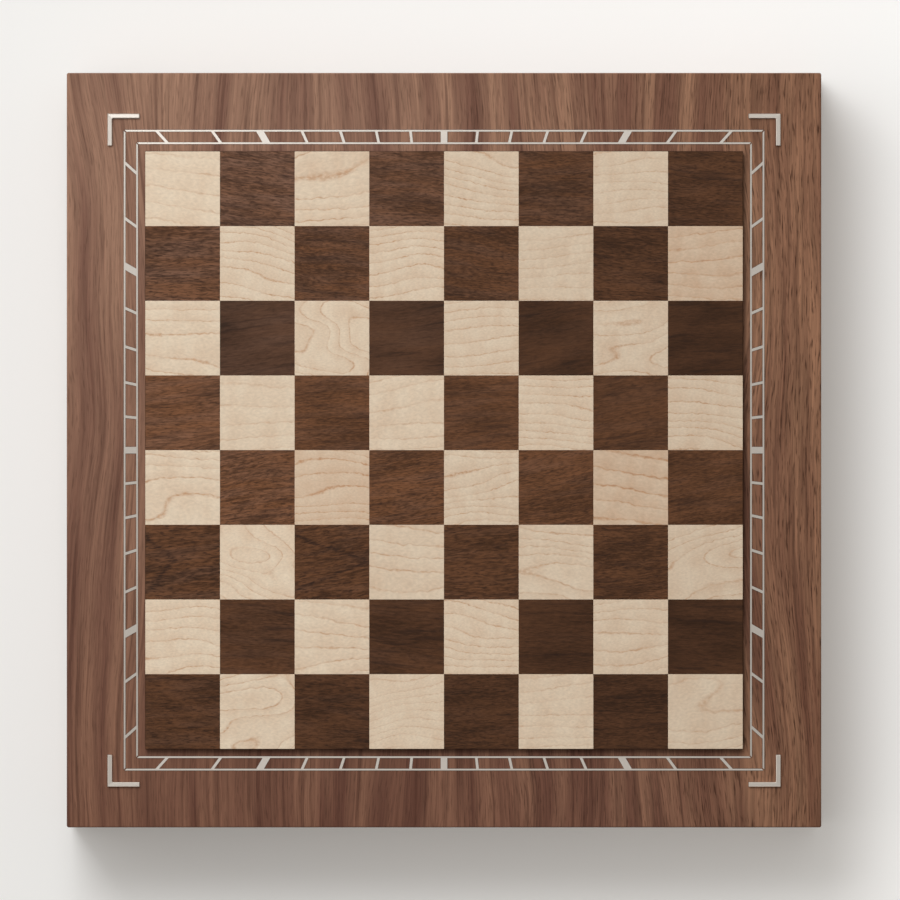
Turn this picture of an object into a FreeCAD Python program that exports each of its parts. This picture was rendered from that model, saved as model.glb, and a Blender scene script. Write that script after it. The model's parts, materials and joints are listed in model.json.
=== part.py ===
import FreeCAD, Part
import math
import os
import re

import Sketcher

# Self-moving electronic chess computer: a flat walnut case with a raised playing field on top and,
# under the field, a belt-driven gantry whose magnet drags the chessmen from square to square.
# The origin is the middle of the footprint on the table, +Z is up and +Y points away from White.
# Lengths are in millimetres.

SIZES = {
    # playing field
    "square_side": 45.0,
    "field_raise": 4.2,
    "rebate_depth": 2.0,
    "ledge_width": 8.0,
    "field_gap": 0.3,
    "field_round": 0.5,
    "veneer_thickness": 0.8,
    # case
    "wall_thickness": 14.0,
    "panel_thickness": 8.0,
    "corner_round": 1.2,
    "edge_round": 0.8,
    "base_thickness": 6.0,
    "base_lap": 8.0,
    "base_gap": 0.3,
    "headroom": 5.0,
    "wall_gap": 2.5,
    # feet and base screws
    "foot_height": 4.0,
    "foot_radius": 10.0,
    "foot_inset": 36.0,
    "foot_rim": 1.2,
    "stem_radius": 3.0,
    "stem_length": 5.0,
    "stem_gap": 0.1,
    "screw_radius": 1.6,
    "screw_length": 18.0,
    "screw_head_radius": 3.0,
    "screw_head_depth": 1.6,
    "screw_hex_radius": 1.15,
    "screw_hex_depth": 1.0,
    "screw_spread": 120.0,
    "screw_gap": 0.05,
    # inlaid minute track
    "track_offset": 5.1,
    "track_gauge": 7.5,
    "line_width": 1.0,
    "tick_width": 1.6,
    "hour_tick_width": 4.0,
    "track_corner_gap": 0.8,
    "inlay_depth": 1.0,
    "inlay_proud": 0.25,
    "inlay_gap": 0.18,
    # corner brackets
    "bracket_offset": 22.8,
    "bracket_arm": 19.1,
    "bracket_width": 2.6,
    "bracket_sink": 1.0,
    "bracket_proud": 1.8,
    "bracket_bevel": 0.4,
    "bracket_round": 0.8,
    # sensor board under the field
    "sensor_board_thickness": 1.0,
    "sensor_board_gap": 1.0,
    "hall_length": 3.0,
    "hall_width": 1.6,
    "hall_height": 0.9,
    # rods, bearings and fits
    "long_rod_radius": 4.0,
    "cross_rod_radius": 3.0,
    "rod_end_gap": 3.0,
    "rod_socket": 11.0,
    "ball_bearing_radius": 7.5,
    "ball_bearing_length": 24.0,
    "bush_radius": 5.0,
    "bush_length": 12.0,
    "bush_spread": 14.0,
    "run_gap": 0.05,
    "seat_gap": 0.05,
    # belts and pulleys
    "belt_width": 6.0,
    "belt_thickness": 1.4,
    "belt_gap": 0.2,
    "belt_room": 0.3,
    "pulley_radius": 6.4,
    "flange_radius": 8.0,
    "flange_thickness": 1.0,
    "pulley_face": 7.0,
    "pulley_gap": 1.0,
    "cross_pulley_radius": 5.1,
    "cross_flange_radius": 7.0,
    # gantry brackets, drive shaft and its motor
    "bracket_cheek": 4.5,
    "bracket_wall": 4.0,
    "bracket_nose": 9.0,
    "shaft_radius": 2.5,
    "shaft_bearing_radius": 5.0,
    "shaft_bearing_width": 4.0,
    "idler_pin_radius": 2.0,
    "motor_side": 28.2,
    "motor_length": 32.0,
    "motor_lift": 1.9,
    "motor_boss_radius": 11.0,
    "motor_boss_height": 2.0,
    "motor_plate": 3.0,
    "motor_foot": 20.0,
    # beam
    "block_wall": 1.5,
    "beam_gap": 1.0,
    "clamp_length": 16.0,
    "clamp_wall": 2.5,
    "clamp_cover": 0.7,
    "jaw_thickness": 3.0,
    "shelf_thickness": 3.0,
    "shelf_gap": 0.4,
    "shelf_room": 3.0,
    "can_radius": 12.5,
    "can_height": 17.0,
    "can_boss_radius": 4.0,
    "can_shaft_radius": 1.0,
    "can_shaft_depth": 12.0,
    "can_gap": 1.5,
    "cross_pin_radius": 1.5,
    # magnet carriage
    "end_gap": 1.5,
    "back_gap": 1.3,
    "carriage_wall": 2.0,
    "carriage_half_height": 8.0,
    "carriage_floor": 4.0,
    "arm_width": 16.0,
    "arm_wall": 1.2,
    "magnet_radius": 11.0,
    "magnet_wall": 2.0,
    "magnet_floor": 3.0,
    "magnet_core_radius": 5.0,
    "magnet_gap": 0.8,
    "coil_gap": 0.2,
    "coil_sink": 1.0,
    # main board, battery and speaker
    "board_length": 140.0,
    "board_width": 80.0,
    "board_thickness": 1.6,
    "board_middle": 90.0,
    "standoff_height": 6.0,
    "standoff_radius": 3.0,
    "standoff_inset": 5.0,
    "board_screw_radius": 1.25,
    "board_screw_head_radius": 2.5,
    "board_screw_head_height": 1.8,
    "board_screw_length": 6.0,
    "part_margin": 10.0,
    "processor_place": 30.0,
    "processor_side": 27.0,
    "processor_height": 3.2,
    "radio_length": 25.0,
    "radio_width": 18.0,
    "radio_height": 3.1,
    "driver_side": 9.0,
    "driver_pitch": 16.0,
    "driver_height": 1.2,
    "header_length": 16.0,
    "header_width": 5.0,
    "header_height": 7.0,
    "cell_radius": 9.2,
    "cell_length": 65.0,
    "cell_gap": 1.6,
    "holder_wall": 2.0,
    "holder_height": 13.0,
    "battery_middle": 50.0,
    "speaker_radius": 28.0,
    "speaker_mouth": 24.0,
    "speaker_height": 20.0,
    "speaker_magnet_radius": 16.0,
    "speaker_magnet_height": 9.0,
    "speaker_wall": 1.5,
    "speaker_place": 95.0,
    "grille_hole_radius": 1.5,
    "grille_pitch": 6.5,
    # socket, switch and power button in the back wall
    "socket_place": 115.0,
    "button_place": 150.0,
    "socket_board_margin": 17.5,
    "socket_board_height": 20.0,
    "post_radius": 3.0,
    "post_inset": 4.0,
    "usb_width": 9.0,
    "usb_height": 3.3,
    "usb_length": 7.5,
    "usb_wall": 0.35,
    "usb_tongue_width": 6.7,
    "usb_tongue_height": 0.7,
    "usb_gap": 0.2,
    "recess_width": 14.0,
    "recess_height": 9.0,
    "recess_web": 4.0,
    "button_radius": 6.0,
    "dish_radius": 9.0,
    "dish_depth": 2.0,
    "button_flange_radius": 7.5,
    "button_flange": 1.1,
    "button_gap": 0.1,
    "button_travel": 1.0,
    "button_rim": 0.6,
    "switch_side": 6.0,
}

WORKED = {
    # plan of the case: the square inside clears the gantry both ways
    "field_half": "4 * square_side",
    "reach": "3.5 * square_side",
    "rod_x": "reach + carriage_half_length + end_gap + block_inner",
    "shaft_y": "reach + carriage_half_width + back_gap + motor_side / 2",
    "gantry_half": "max(rod_x + cheek_half, shaft_y + motor_side / 2)",
    "inner_half": "gantry_half + wall_gap",
    "case_half": "inner_half + wall_thickness",
    "base_half": "inner_half + base_lap - base_gap",
    "opening_half": "field_half - ledge_width",
    # heights
    "base_top": "foot_height + base_thickness",
    "shaft_z": "base_top + motor_lift + motor_side / 2",
    "run_bottom": "shaft_z + pulley_radius + belt_gap",
    "run_top": "run_bottom + belt_thickness",
    "block_bottom": "run_top + belt_room + clamp_cover",
    "axis_z": "block_bottom + block_half_height",
    "rail_top": "axis_z + block_half_height + headroom",
    "panel_top": "rail_top + panel_thickness",
    "ledge_z": "panel_top - rebate_depth",
    "field_top": "panel_top + field_raise",
    "veneer_bottom": "field_top - veneer_thickness",
    "sensor_board_bottom": "ledge_z - sensor_board_thickness",
    "hall_bottom": "sensor_board_bottom - hall_height",
    "magnet_top": "hall_bottom - magnet_gap",
    # top panel inlays
    "track_inner": "field_half + track_offset",
    "track_outer": "track_inner + track_gauge",
    "track_far": "track_outer + track_gauge",
    "bracket_half": "field_half + bracket_offset",
    # gantry in plan
    "pulley_half": "pulley_face / 2 + flange_thickness",
    "channel_half": "pulley_half + pulley_gap",
    "cheek_half": "channel_half + bracket_cheek",
    "cheek_middle": "channel_half + bracket_cheek / 2",
    # beam
    "block_half_height": "ball_bearing_radius + block_wall",
    "block_inner": "ball_bearing_radius + block_wall + rod_socket",
    "block_face": "rod_x - block_inner",
    "block_half_width": "carriage_half_width + beam_gap",
    "clamp_half": "belt_width / 2 + belt_room + clamp_wall",
    "cross_rod_y": "magnet_radius + bush_radius + beam_gap",
    "cross_belt_y": "block_half_width + cross_flange_radius + shelf_room",
    "cross_pulley_x": "rod_x - cheek_half - can_gap - can_radius",
    "cross_pulley_z": "block_bottom + shelf_thickness + shelf_gap + pulley_half",
    "near_run_inside": "cross_belt_y - cross_pulley_radius - belt_gap",
    # carriage
    "carriage_half_length": "bush_spread + bush_length / 2 + carriage_wall",
    "carriage_half_width": "cross_rod_y + bush_radius + carriage_wall",
    "carriage_bottom": "axis_z - carriage_half_height",
    "magnet_bottom": "carriage_bottom + carriage_floor",
    "magnet_height": "magnet_top - magnet_bottom",
    # electronics
    "board_bottom": "base_top + standoff_height",
    "board_top": "board_bottom + board_thickness",
    "cell_spacing": "2 * cell_radius + cell_gap",
    "recess_floor": "inner_half + recess_web",
    "socket_board_face": "recess_floor - usb_length",
    "socket_board_start": "socket_place - socket_board_margin",
    "socket_board_end": "button_place + socket_board_margin",
    "socket_z": "axis_z - carriage_half_height / 2",
    "button_back": "inner_half - button_gap - button_flange",
}

NAME = re.compile(r"[a-z][a-z_]*")
AIMS = {
    "x": FreeCAD.Rotation(FreeCAD.Vector(0, 1, 0), 90),
    "y": FreeCAD.Rotation(FreeCAD.Vector(1, 0, 0), -90),
    "z": FreeCAD.Rotation(),
}
UP = FreeCAD.Vector(0, 0, 1)
SIDES = {"left": -1, "right": 1}
QUARTERS = {"front": 0, "right": 90, "back": 180, "left": 270}
PIECES = []

doc = FreeCAD.newDocument("chess_computer")


def fill_sheet():
    """Writes the driving sizes to a sheet, one named cell each."""
    sheet = doc.addObject("Spreadsheet::Sheet", "Sizes")
    for row, (alias, size) in enumerate(SIZES.items(), 1):
        sheet.set(f"A{row}", alias)
        sheet.set(f"B{row}", str(size))
        sheet.setAlias(f"B{row}", alias)
    doc.recompute()


def formula(text):
    """The document expression for a formula in the names of SIZES and WORKED."""

    def swap(match):
        name = match.group()
        if name in WORKED:
            return "(" + formula(WORKED[name]) + ")"
        return "Sizes." + name if name in SIZES else name

    return NAME.sub(swap, str(text))


def bind(feature, prop, text):
    feature.setExpression(prop, formula(text))


def place(feature, at, rotation=None):
    """Turns a feature and puts it at a point whose coordinates are formulas."""
    if rotation:
        feature.Placement = FreeCAD.Placement(FreeCAD.Vector(), rotation)
    for axis, text in zip("xyz", at):
        bind(feature, "Placement.Base." + axis, text)
    return feature


def turn(feature, degrees):
    """Turns a feature about the upright axis through the origin."""
    feature.Placement = FreeCAD.Placement(FreeCAD.Vector(), FreeCAD.Rotation(UP, degrees))
    return feature


def span(side, low, high):
    """A range on one side of the middle; low and high are distances from it."""
    return (low, high) if side > 0 else (f"-({high})", f"-({low})")


def both(half):
    """A range of that half width about the middle."""
    return f"-({half})", half


def about(middle, half):
    """A range of that half width about a point."""
    return f"{middle} - ({half})", f"{middle} + {half}"


def block(name, x, y, z):
    """A box between a low and a high formula on each axis."""
    box = doc.addObject("Part::Box", name)
    for size, axis, (low, high) in zip(("Length", "Width", "Height"), "xyz", (x, y, z)):
        bind(box, size, f"({high}) - ({low})")
        bind(box, "Placement.Base." + axis, low)
    return box


def cylinder(name, radius, length, at, aim="z"):
    """A cylinder that starts at a point and runs along the axis that aim names."""
    rod = doc.addObject("Part::Cylinder", name)
    bind(rod, "Radius", radius)
    bind(rod, "Height", length)
    return place(rod, at, AIMS[aim])


def group(name, features):
    """Separate solids kept together under one name."""
    made = doc.addObject("Part::Compound", name)
    made.Links = features
    return made


def fuse(name, features):
    made = doc.addObject("Part::MultiFuse", name)
    made.Shapes = features
    made.Refine = True
    return made


def cut(name, base, tools):
    made = doc.addObject("Part::Cut", name)
    made.Base = base
    made.Tool = tools[0] if len(tools) == 1 else fuse(name + "_tools", tools)
    return made


def common(name, base, tool):
    made = doc.addObject("Part::Common", name)
    made.Base = base
    made.Tool = tool
    return made


def outline(body, plane, points):
    """A closed sketch of straight lines whose corners are bound to formulas."""
    sketch = body.newObject("Sketcher::SketchObject", body.Name + "_outline")
    support = next(part for part in body.Origin.OriginFeatures if part.Role == plane)
    sketch.AttachmentSupport = (support, [""])
    sketch.MapMode = "FlatFace"
    count = len(points)
    angles = [2 * math.pi * i / count for i in range(count)]
    start = [FreeCAD.Vector(math.cos(angle), math.sin(angle), 0) for angle in angles]
    for i in range(count):
        sketch.addGeometry(Part.LineSegment(start[i], start[(i + 1) % count]))
    for i in range(count):
        sketch.addConstraint(Sketcher.Constraint("Coincident", i, 2, (i + 1) % count, 1))
    for i, corner in enumerate(points):
        for kind, text, guess in zip(("DistanceX", "DistanceY"), corner, start[i]):
            index = sketch.addConstraint(Sketcher.Constraint(kind, -1, 1, i, 1, guess))
            bind(sketch, f"Constraints[{index}]", text)
    return sketch


def plate(name, points, low, high):
    """A body padded from an outline in plan, between two heights."""
    body = doc.addObject("PartDesign::Body", name)
    sketch = outline(body, "XY_Plane", points)
    pad = body.newObject("PartDesign::Pad", name + "_pad")
    pad.Profile = sketch
    bind(pad, "Length", f"({high}) - ({low})")
    return place(body, (0, 0, low))


def turned(name, points, at=(0, 0, 0), aim="z"):
    """A body turned from an outline of radius and height about its own axis."""
    body = doc.addObject("PartDesign::Body", name)
    sketch = outline(body, "XZ_Plane", points)
    spin = body.newObject("PartDesign::Revolution", name + "_spin")
    spin.Profile = sketch
    spin.ReferenceAxis = (sketch, ["V_Axis"])
    spin.Angle = 360
    return place(body, at, AIMS[aim])


def ease(body, kind, prop, size, chosen):
    """Adds a fillet or chamfer to the body's edges that chosen picks."""
    doc.recompute()
    base = body.Tip
    names = [f"Edge{i}" for i, edge in enumerate(base.Shape.Edges, 1) if chosen(edge, base.Shape)]
    eased = body.newObject("PartDesign::" + kind, f"{body.Name}_{kind.lower()}")
    eased.Base = (base, names)
    bind(eased, prop, size)
    return body


def is_upright(edge, shape):
    return edge.BoundBox.ZLength > 0.99 * shape.BoundBox.ZLength


def is_on_top(edge, shape):
    return edge.BoundBox.ZMin > shape.BoundBox.ZMax - 0.001


def rounded_square(name, half, radius, low, high):
    """A square prism with rounded upright edges."""
    corners = [(f"-({half})", f"-({half})"), (half, f"-({half})"), (half, half), (f"-({half})", half)]
    return ease(plate(name, corners, low, high), "Fillet", "Radius", radius, is_upright)


def piece(label, feature):
    """Keeps a finished feature as a piece of its own, under its label."""
    feature.Label = label
    PIECES.append(feature)
    return feature


# Playing field


def make_field():
    """The field board and the maple and walnut squares laid on it."""
    board = rounded_square("field_board", "field_half", "field_round", "ledge_z", "veneer_bottom")
    piece("field_board", board)
    squares = {"light": [], "dark": []}
    for file in range(8):
        for rank in range(8):
            x = (f"{file - 4} * square_side", f"{file - 3} * square_side")
            y = (f"{rank - 4} * square_side", f"{rank - 3} * square_side")
            wood = "light" if (file + rank) % 2 else "dark"
            squares[wood].append(block("square", x, y, ("veneer_bottom", "field_top")))
    for wood, laid in squares.items():
        name = wood + "_squares"
        edge = rounded_square(name + "_edge", "field_half", "field_round", "veneer_bottom", "field_top")
        piece(name, common(name, group(name + "_laid", laid), edge))


def make_sensor_board():
    """The sensor board under the field, with one sensor below the middle of each square."""
    half = "opening_half - sensor_board_gap"
    piece("sensor_board", block("sensor_board", both(half), both(half), ("sensor_board_bottom", "ledge_z")))
    sensors = []
    for file in range(8):
        for rank in range(8):
            x = about(f"{file - 3.5} * square_side", "hall_length / 2")
            y = about(f"{rank - 3.5} * square_side", "hall_width / 2")
            sensors.append(block("sensor", x, y, ("hall_bottom", "sensor_board_bottom")))
    piece("hall_sensors", group("hall_sensors", sensors))


# Top panel with its inlays


def tick(angle, width, low, high):
    """A bar that points at the middle of the board, at an angle from the front."""
    bar = doc.addObject("Part::Box", "tick")
    far = f"track_far / cos({angle})"
    near = f"(track_inner - track_gauge) / cos({angle})"
    bind(bar, "Length", width)
    bind(bar, "Width", f"{far} - {near}")
    bind(bar, "Height", f"({high}) - ({low})")
    x = f"{far} * sin({angle}) - ({width}) / 2 * cos({angle})"
    y = f"-{far} * cos({angle}) - ({width}) / 2 * sin({angle})"
    return place(bar, (x, y, low), FreeCAD.Rotation(UP, angle))


def fret(name, grow, low, high):
    """The front side of the track: two lines joined by a quarter of a dial's sixty ticks."""
    ticks = []
    for minute in range(-7, 8):
        width = "tick_width" if minute % 5 else "hour_tick_width"
        ticks.append(tick(6 * minute, f"{width} + 2 * {grow}", low, high))
    band = block(name + "_band", both("track_far"), span(-1, "track_inner", "track_outer"), (low, high))
    bars = [common(name + "_bars", group(name + "_ticks", ticks), band)]
    for line in ("track_inner", "track_outer"):
        y = about(f"-{line}", f"(line_width / 2 + {grow})")
        bars.append(block(name + "_line", both("track_far"), y, (low, high)))
    gap = f"(track_corner_gap - 2 * {grow}) / sqrt(2)"
    corners = [(0, f"-({gap})"), ("track_far", f"-track_far - {gap}"), ("-track_far", f"-track_far - {gap}")]
    return common(name, fuse(name + "_whole", bars), plate(name + "_wedge", corners, low, high))


def corner_outline(grow):
    """The L of the bracket at the far right corner, grown all round."""
    outer = f"bracket_half + {grow}"
    inner = f"bracket_half - bracket_width - {grow}"
    end = f"bracket_half - bracket_arm - {grow}"
    return [(outer, outer), (end, outer), (end, inner), (inner, inner), (inner, end), (outer, end)]


def make_top_panel():
    """The veneered top: a ring that carries the field, grooved for the track and the brackets."""
    slab = rounded_square("panel_slab", "case_half", "corner_round", "rail_top", "panel_top")
    ease(slab, "Fillet", "Radius", "edge_round", is_on_top)
    above = "field_top"
    rebate = rounded_square("panel_rebate", "field_half + field_gap", "field_round", "ledge_z", above)
    opening = block("panel_opening", both("opening_half"), both("opening_half"), ("rail_top - 1", above))
    groove = fret("groove", "inlay_gap", "panel_top - inlay_depth", above)
    seats = [rebate, opening]
    for number, degrees in enumerate(QUARTERS.values()):
        seats.append(turn(group(f"groove_{number}", [groove]), degrees))
        recess = plate(f"recess_{number}", corner_outline("inlay_gap"), "panel_top - bracket_sink", above)
        recess.Placement = FreeCAD.Placement(FreeCAD.Vector(), FreeCAD.Rotation(UP, degrees))
        seats.append(recess)
    piece("top_panel", cut("top_panel", slab, seats))


def make_track():
    """The four metal frets of the minute track, one to a side."""
    inlay = fret("inlay", 0, "panel_top - inlay_depth", "panel_top + inlay_proud")
    for side, degrees in QUARTERS.items():
        piece("track_" + side, turn(group("track_" + side, [inlay]), degrees))


def is_in_crook(edge, shape):
    """Whether an upright edge lies inside the outline's box, as only the one in the crook does."""
    box = shape.BoundBox
    middle = edge.BoundBox.Center
    inside = box.XMin + 0.001 < middle.x < box.XMax - 0.001 and box.YMin + 0.001 < middle.y < box.YMax - 0.001
    return inside and is_upright(edge, shape)


def make_corner_brackets():
    """The four raised metal angles outside the corners of the track."""
    for corner, degrees in zip(("back_right", "back_left", "front_left", "front_right"), QUARTERS.values()):
        label = "corner_bracket_" + corner
        angle = plate(label, corner_outline(0), "panel_top - bracket_sink", "panel_top + bracket_proud")
        ease(angle, "Fillet", "Radius", "bracket_round", is_in_crook)
        ease(angle, "Chamfer", "Size", "bracket_bevel", is_on_top)
        angle.Placement = FreeCAD.Placement(FreeCAD.Vector(), FreeCAD.Rotation(UP, degrees))
        piece(label, angle)


# Case


def base_screw(name, grow):
    """A countersunk screw, head down at the origin, grown by a clearance."""
    shank = f"screw_radius + {grow}"
    head = f"screw_head_radius + {grow}"
    corners = [(0, 0), (head, 0), (shank, "screw_head_depth"), (shank, "screw_length"), (0, "screw_length")]
    return turned(name, corners)


def hex_socket(middle):
    """The hexagon socket in a screw's head."""
    socket = doc.addObject("Part::Prism", "hex_socket")
    socket.Polygon = 6
    bind(socket, "Circumradius", "screw_hex_radius")
    bind(socket, "Height", "screw_hex_depth")
    return place(socket, middle)


def base_screws(name, grow, has_socket):
    """Two screws to a side, up through the base into the rails."""
    screws = []
    for degrees in QUARTERS.values():
        pair = []
        for side in SIDES.values():
            middle = (f"{side} * screw_spread", "-(inner_half + base_lap / 2)", "foot_height")
            screw = place(base_screw(name + "_single", grow), middle)
            pair.append(cut(name + "_hexed", screw, [hex_socket(middle)]) if has_socket else screw)
        screws.append(turn(group(name + "_pair", pair), degrees))
    return group(name, screws)


def make_case():
    """Four mitred rails, the base plate let into them, its screws and its feet."""
    prism = rounded_square("case_prism", "case_half", "corner_round", "foot_height", "rail_top")
    seat = "base_half + base_gap"
    base_seat = block("base_seat", both(seat), both(seat), ("foot_height", "base_top"))
    holes = base_screws("screw_hole", "screw_gap", False)
    for side, degrees in QUARTERS.items():
        name = side + "_rail"
        corners = [("-case_half", "-case_half"), ("case_half", "-case_half")]
        corners += [("inner_half", "-inner_half"), ("-inner_half", "-inner_half")]
        board = plate(name + "_board", corners, "foot_height", "rail_top")
        board.Placement = FreeCAD.Placement(FreeCAD.Vector(), FreeCAD.Rotation(UP, degrees))
        tools = [base_seat, holes]
        if side == "back":
            tools += back_openings()
        piece(name, cut(name, common(name + "_blank", board, prism), tools))
    piece("base_screws", base_screws("base_screws", 0, True))
    make_base(holes)


def back_openings():
    """The plug recess, the socket's window and the button's dished bore in the back rail."""
    z = "socket_z"
    recess = block(
        "plug_recess",
        about("socket_place", "recess_width / 2"),
        ("recess_floor", "case_half + 1"),
        about(z, "recess_height / 2"),
    )
    window = block(
        "socket_window",
        about("socket_place", "(usb_width / 2 + usb_gap)"),
        ("inner_half - 1", "recess_floor + 1"),
        about(z, "(usb_height / 2 + usb_gap)"),
    )
    start = ("button_place", "inner_half - 1", z)
    bore = cylinder("button_bore", "button_radius + button_gap", "wall_thickness + 2", start, "y")
    hole = "button_radius + button_gap"
    cone = [(0, "-dish_depth"), (hole, "-dish_depth"), ("dish_radius", 0), (0, 0)]
    dish = turned("finger_dish", cone, ("button_place", "case_half", z), "y")
    return [recess, window, bore, dish]


def foot_places():
    """The four points where the feet stand."""
    away = "(case_half - foot_inset)"
    return [(f"{x} * {away}", f"{y} * {away}") for x in (-1, 1) for y in (-1, 1)]


def make_base(holes):
    """The base plate with its screw holes, stem holes and speaker grille, and the rubber feet."""
    slab = block("base_slab", both("base_half"), both("base_half"), ("foot_height", "base_top"))
    through = "base_thickness + 2"
    below = "foot_height - 1"
    tools = [holes]
    feet = []
    rim = "foot_radius - foot_rim"
    corners = [(0, 0), (rim, 0), ("foot_radius", "foot_rim"), ("foot_radius", "foot_height")]
    corners += [("stem_radius", "foot_height"), ("stem_radius", "foot_height + stem_length")]
    corners += [(0, "foot_height + stem_length")]
    for x, y in foot_places():
        tools.append(cylinder("stem_hole", "stem_radius + stem_gap", through, (x, y, below)))
        feet.append(turned("foot", corners, (x, y, 0)))
    for ring in range(4):
        for hole in range(max(1, 6 * ring)):
            angle = 60 * hole / max(1, ring)
            x = f"speaker_place + {ring} * grille_pitch * cos({angle})"
            y = f"-speaker_place + {ring} * grille_pitch * sin({angle})"
            tools.append(cylinder("grille_hole", "grille_hole_radius", through, (x, y, below)))
    piece("base_plate", cut("base_plate", slab, tools))
    piece("rubber_feet", group("rubber_feet", feet))


# Long axis of the gantry, fixed in the case


def gantry_bracket(name, side, end, hole):
    """A fork that holds one end of a long rod and the pulley below it."""
    x = span(side, "rod_x - cheek_half", "rod_x + cheek_half")
    y = span(end, "shaft_y - bracket_nose", "inner_half")
    top = "axis_z + long_rod_radius + bracket_wall"
    channel = block(
        name + "_channel",
        span(side, "rod_x - channel_half", "rod_x + channel_half"),
        span(end, "shaft_y - bracket_nose - 1", "inner_half + 1"),
        ("base_top - 1", "shaft_z + flange_radius + pulley_gap"),
    )
    start = (f"{side} * rod_x - cheek_half - 1", f"{end} * shaft_y", "shaft_z")
    seat = cylinder(name + "_seat", hole, "2 * cheek_half + 2", start, "x")
    low = "shaft_y - bracket_nose - 1" if end > 0 else "-(inner_half - rod_end_gap)"
    length = "inner_half - rod_end_gap - (shaft_y - bracket_nose - 1)"
    socket = cylinder(
        name + "_socket", "long_rod_radius + seat_gap", length, (f"{side} * rod_x", low, "axis_z"), "y"
    )
    return cut(name, block(name + "_body", x, y, ("base_top", top)), [channel, seat, socket])


def pulley(name, bore, seat, flange, at, aim):
    """A flanged belt pulley whose middle is at a point."""
    face = "pulley_face / 2"
    corners = [(bore, "-pulley_half"), (flange, "-pulley_half"), (flange, f"-{face}"), (seat, f"-{face}")]
    corners += [(seat, face), (flange, face), (flange, "pulley_half"), (bore, "pulley_half")]
    return turned(name, corners, at, aim)


def sleeve(name, bore, radius, length, at, aim):
    """A plain ring whose middle is at a point."""
    half = f"{length} / 2"
    corners = [(bore, f"-{half}"), (radius, f"-{half}"), (radius, half), (bore, half)]
    return turned(name, corners, at, aim)


def belt(name, radius, half_span):
    """A belt loop round two pulleys, lying flat with its long way along X."""
    loops = []
    for skin, reach in (("inside", radius), ("outside", f"{radius} + belt_thickness")):
        half = "belt_width / 2" if skin == "outside" else "belt_width"
        run = block(f"{name}_{skin}", both(half_span), both(reach), both(half))
        ends = [
            cylinder(f"{name}_{skin}_end", reach, f"2 * {half}", (f"{sign} * {half_span}", 0, f"-{half}"))
            for sign in SIDES.values()
        ]
        loops.append(fuse(f"{name}_{skin}_loop", [run] + ends))
    return cut(name, loops[1], [loops[0]])


def make_long_axis():
    """Rods, brackets, belts, idlers and the motor-driven shaft along the two sides."""
    ends = {"front": (-1, "idler_pin_radius + seat_gap"), "back": (1, "shaft_bearing_radius + seat_gap")}
    for end, (sign, hole) in ends.items():
        forks = [gantry_bracket(f"{end}_bracket_{name}", side, sign, hole) for name, side in SIDES.items()]
        piece(end + "_brackets", group(end + "_brackets", forks))
    rods, belts, pulleys, idlers, pins, bearings = [], [], [], [], [], []
    for side in SIDES.values():
        x = f"{side} * rod_x"
        start = (x, "-(inner_half - rod_end_gap)", "axis_z")
        rods.append(cylinder("long_rod", "long_rod_radius", "2 * (inner_half - rod_end_gap)", start, "y"))
        loop = belt("long_belt", "(pulley_radius + belt_gap)", "shaft_y")
        belts.append(place(loop, (x, 0, "shaft_z"), FreeCAD.Rotation(FreeCAD.Vector(1, 1, 1), 120)))
        wheel = ("pulley_radius", "flange_radius")
        back = (x, "shaft_y", "shaft_z")
        pulleys.append(pulley("drive_pulley", "shaft_radius + seat_gap", *wheel, back, "x"))
        front = (x, "-shaft_y", "shaft_z")
        idlers.append(pulley("idler", "idler_pin_radius + run_gap", *wheel, front, "x"))
        start = (f"{x} - cheek_half", "-shaft_y", "shaft_z")
        pins.append(cylinder("idler_pin", "idler_pin_radius", "2 * cheek_half", start, "x"))
        for cheek in SIDES.values():
            middle = (f"{x} + {cheek} * cheek_middle", "shaft_y", "shaft_z")
            ring = ("shaft_radius + run_gap", "shaft_bearing_radius", "shaft_bearing_width")
            bearings.append(sleeve("shaft_bearing", *ring, middle, "x"))
    piece("long_rods", group("long_rods", rods))
    piece("long_belts", group("long_belts", belts))
    piece("drive_pulleys", group("drive_pulleys", pulleys))
    piece("idler_pulleys", group("idler_pulleys", idlers))
    piece("idler_pins", group("idler_pins", pins))
    piece("shaft_bearings", group("shaft_bearings", bearings))
    start = ("-(rod_x + cheek_half)", "shaft_y", "shaft_z")
    piece("drive_shaft", cylinder("drive_shaft", "shaft_radius", "2 * (rod_x + cheek_half)", start, "x"))


def make_shaft_motor():
    """The stepper motor in the middle of the drive shaft, and the angle that carries it."""
    half = "motor_side / 2"
    face = "motor_length / 2"
    shell = block("motor_shell", both(face), about("shaft_y", half), about("shaft_z", half))
    start = (face, "shaft_y", "shaft_z")
    boss = cylinder("motor_boss", "motor_boss_radius", "motor_boss_height", start, "x")
    start = (f"-{face} - 1", "shaft_y", "shaft_z")
    length = "motor_length + motor_boss_height + 2"
    bore = cylinder("motor_bore", "shaft_radius + run_gap", length, start, "x")
    piece("shaft_motor", cut("shaft_motor", fuse("motor_body", [shell, boss]), [bore]))
    y = about("shaft_y", half)
    upright = block("motor_upright", (face, f"{face} + motor_plate"), y, ("base_top", f"shaft_z + {half}"))
    foot = block("motor_foot", (face, f"{face} + motor_foot"), y, ("base_top", "base_top + motor_plate"))
    start = (f"{face} - 1", "shaft_y", "shaft_z")
    hole = cylinder("motor_hole", "motor_boss_radius + seat_gap", "motor_plate + 2", start, "x")
    piece("motor_bracket", cut("motor_bracket", fuse("motor_angle", [upright, foot]), [hole]))


# Beam across the case


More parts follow.
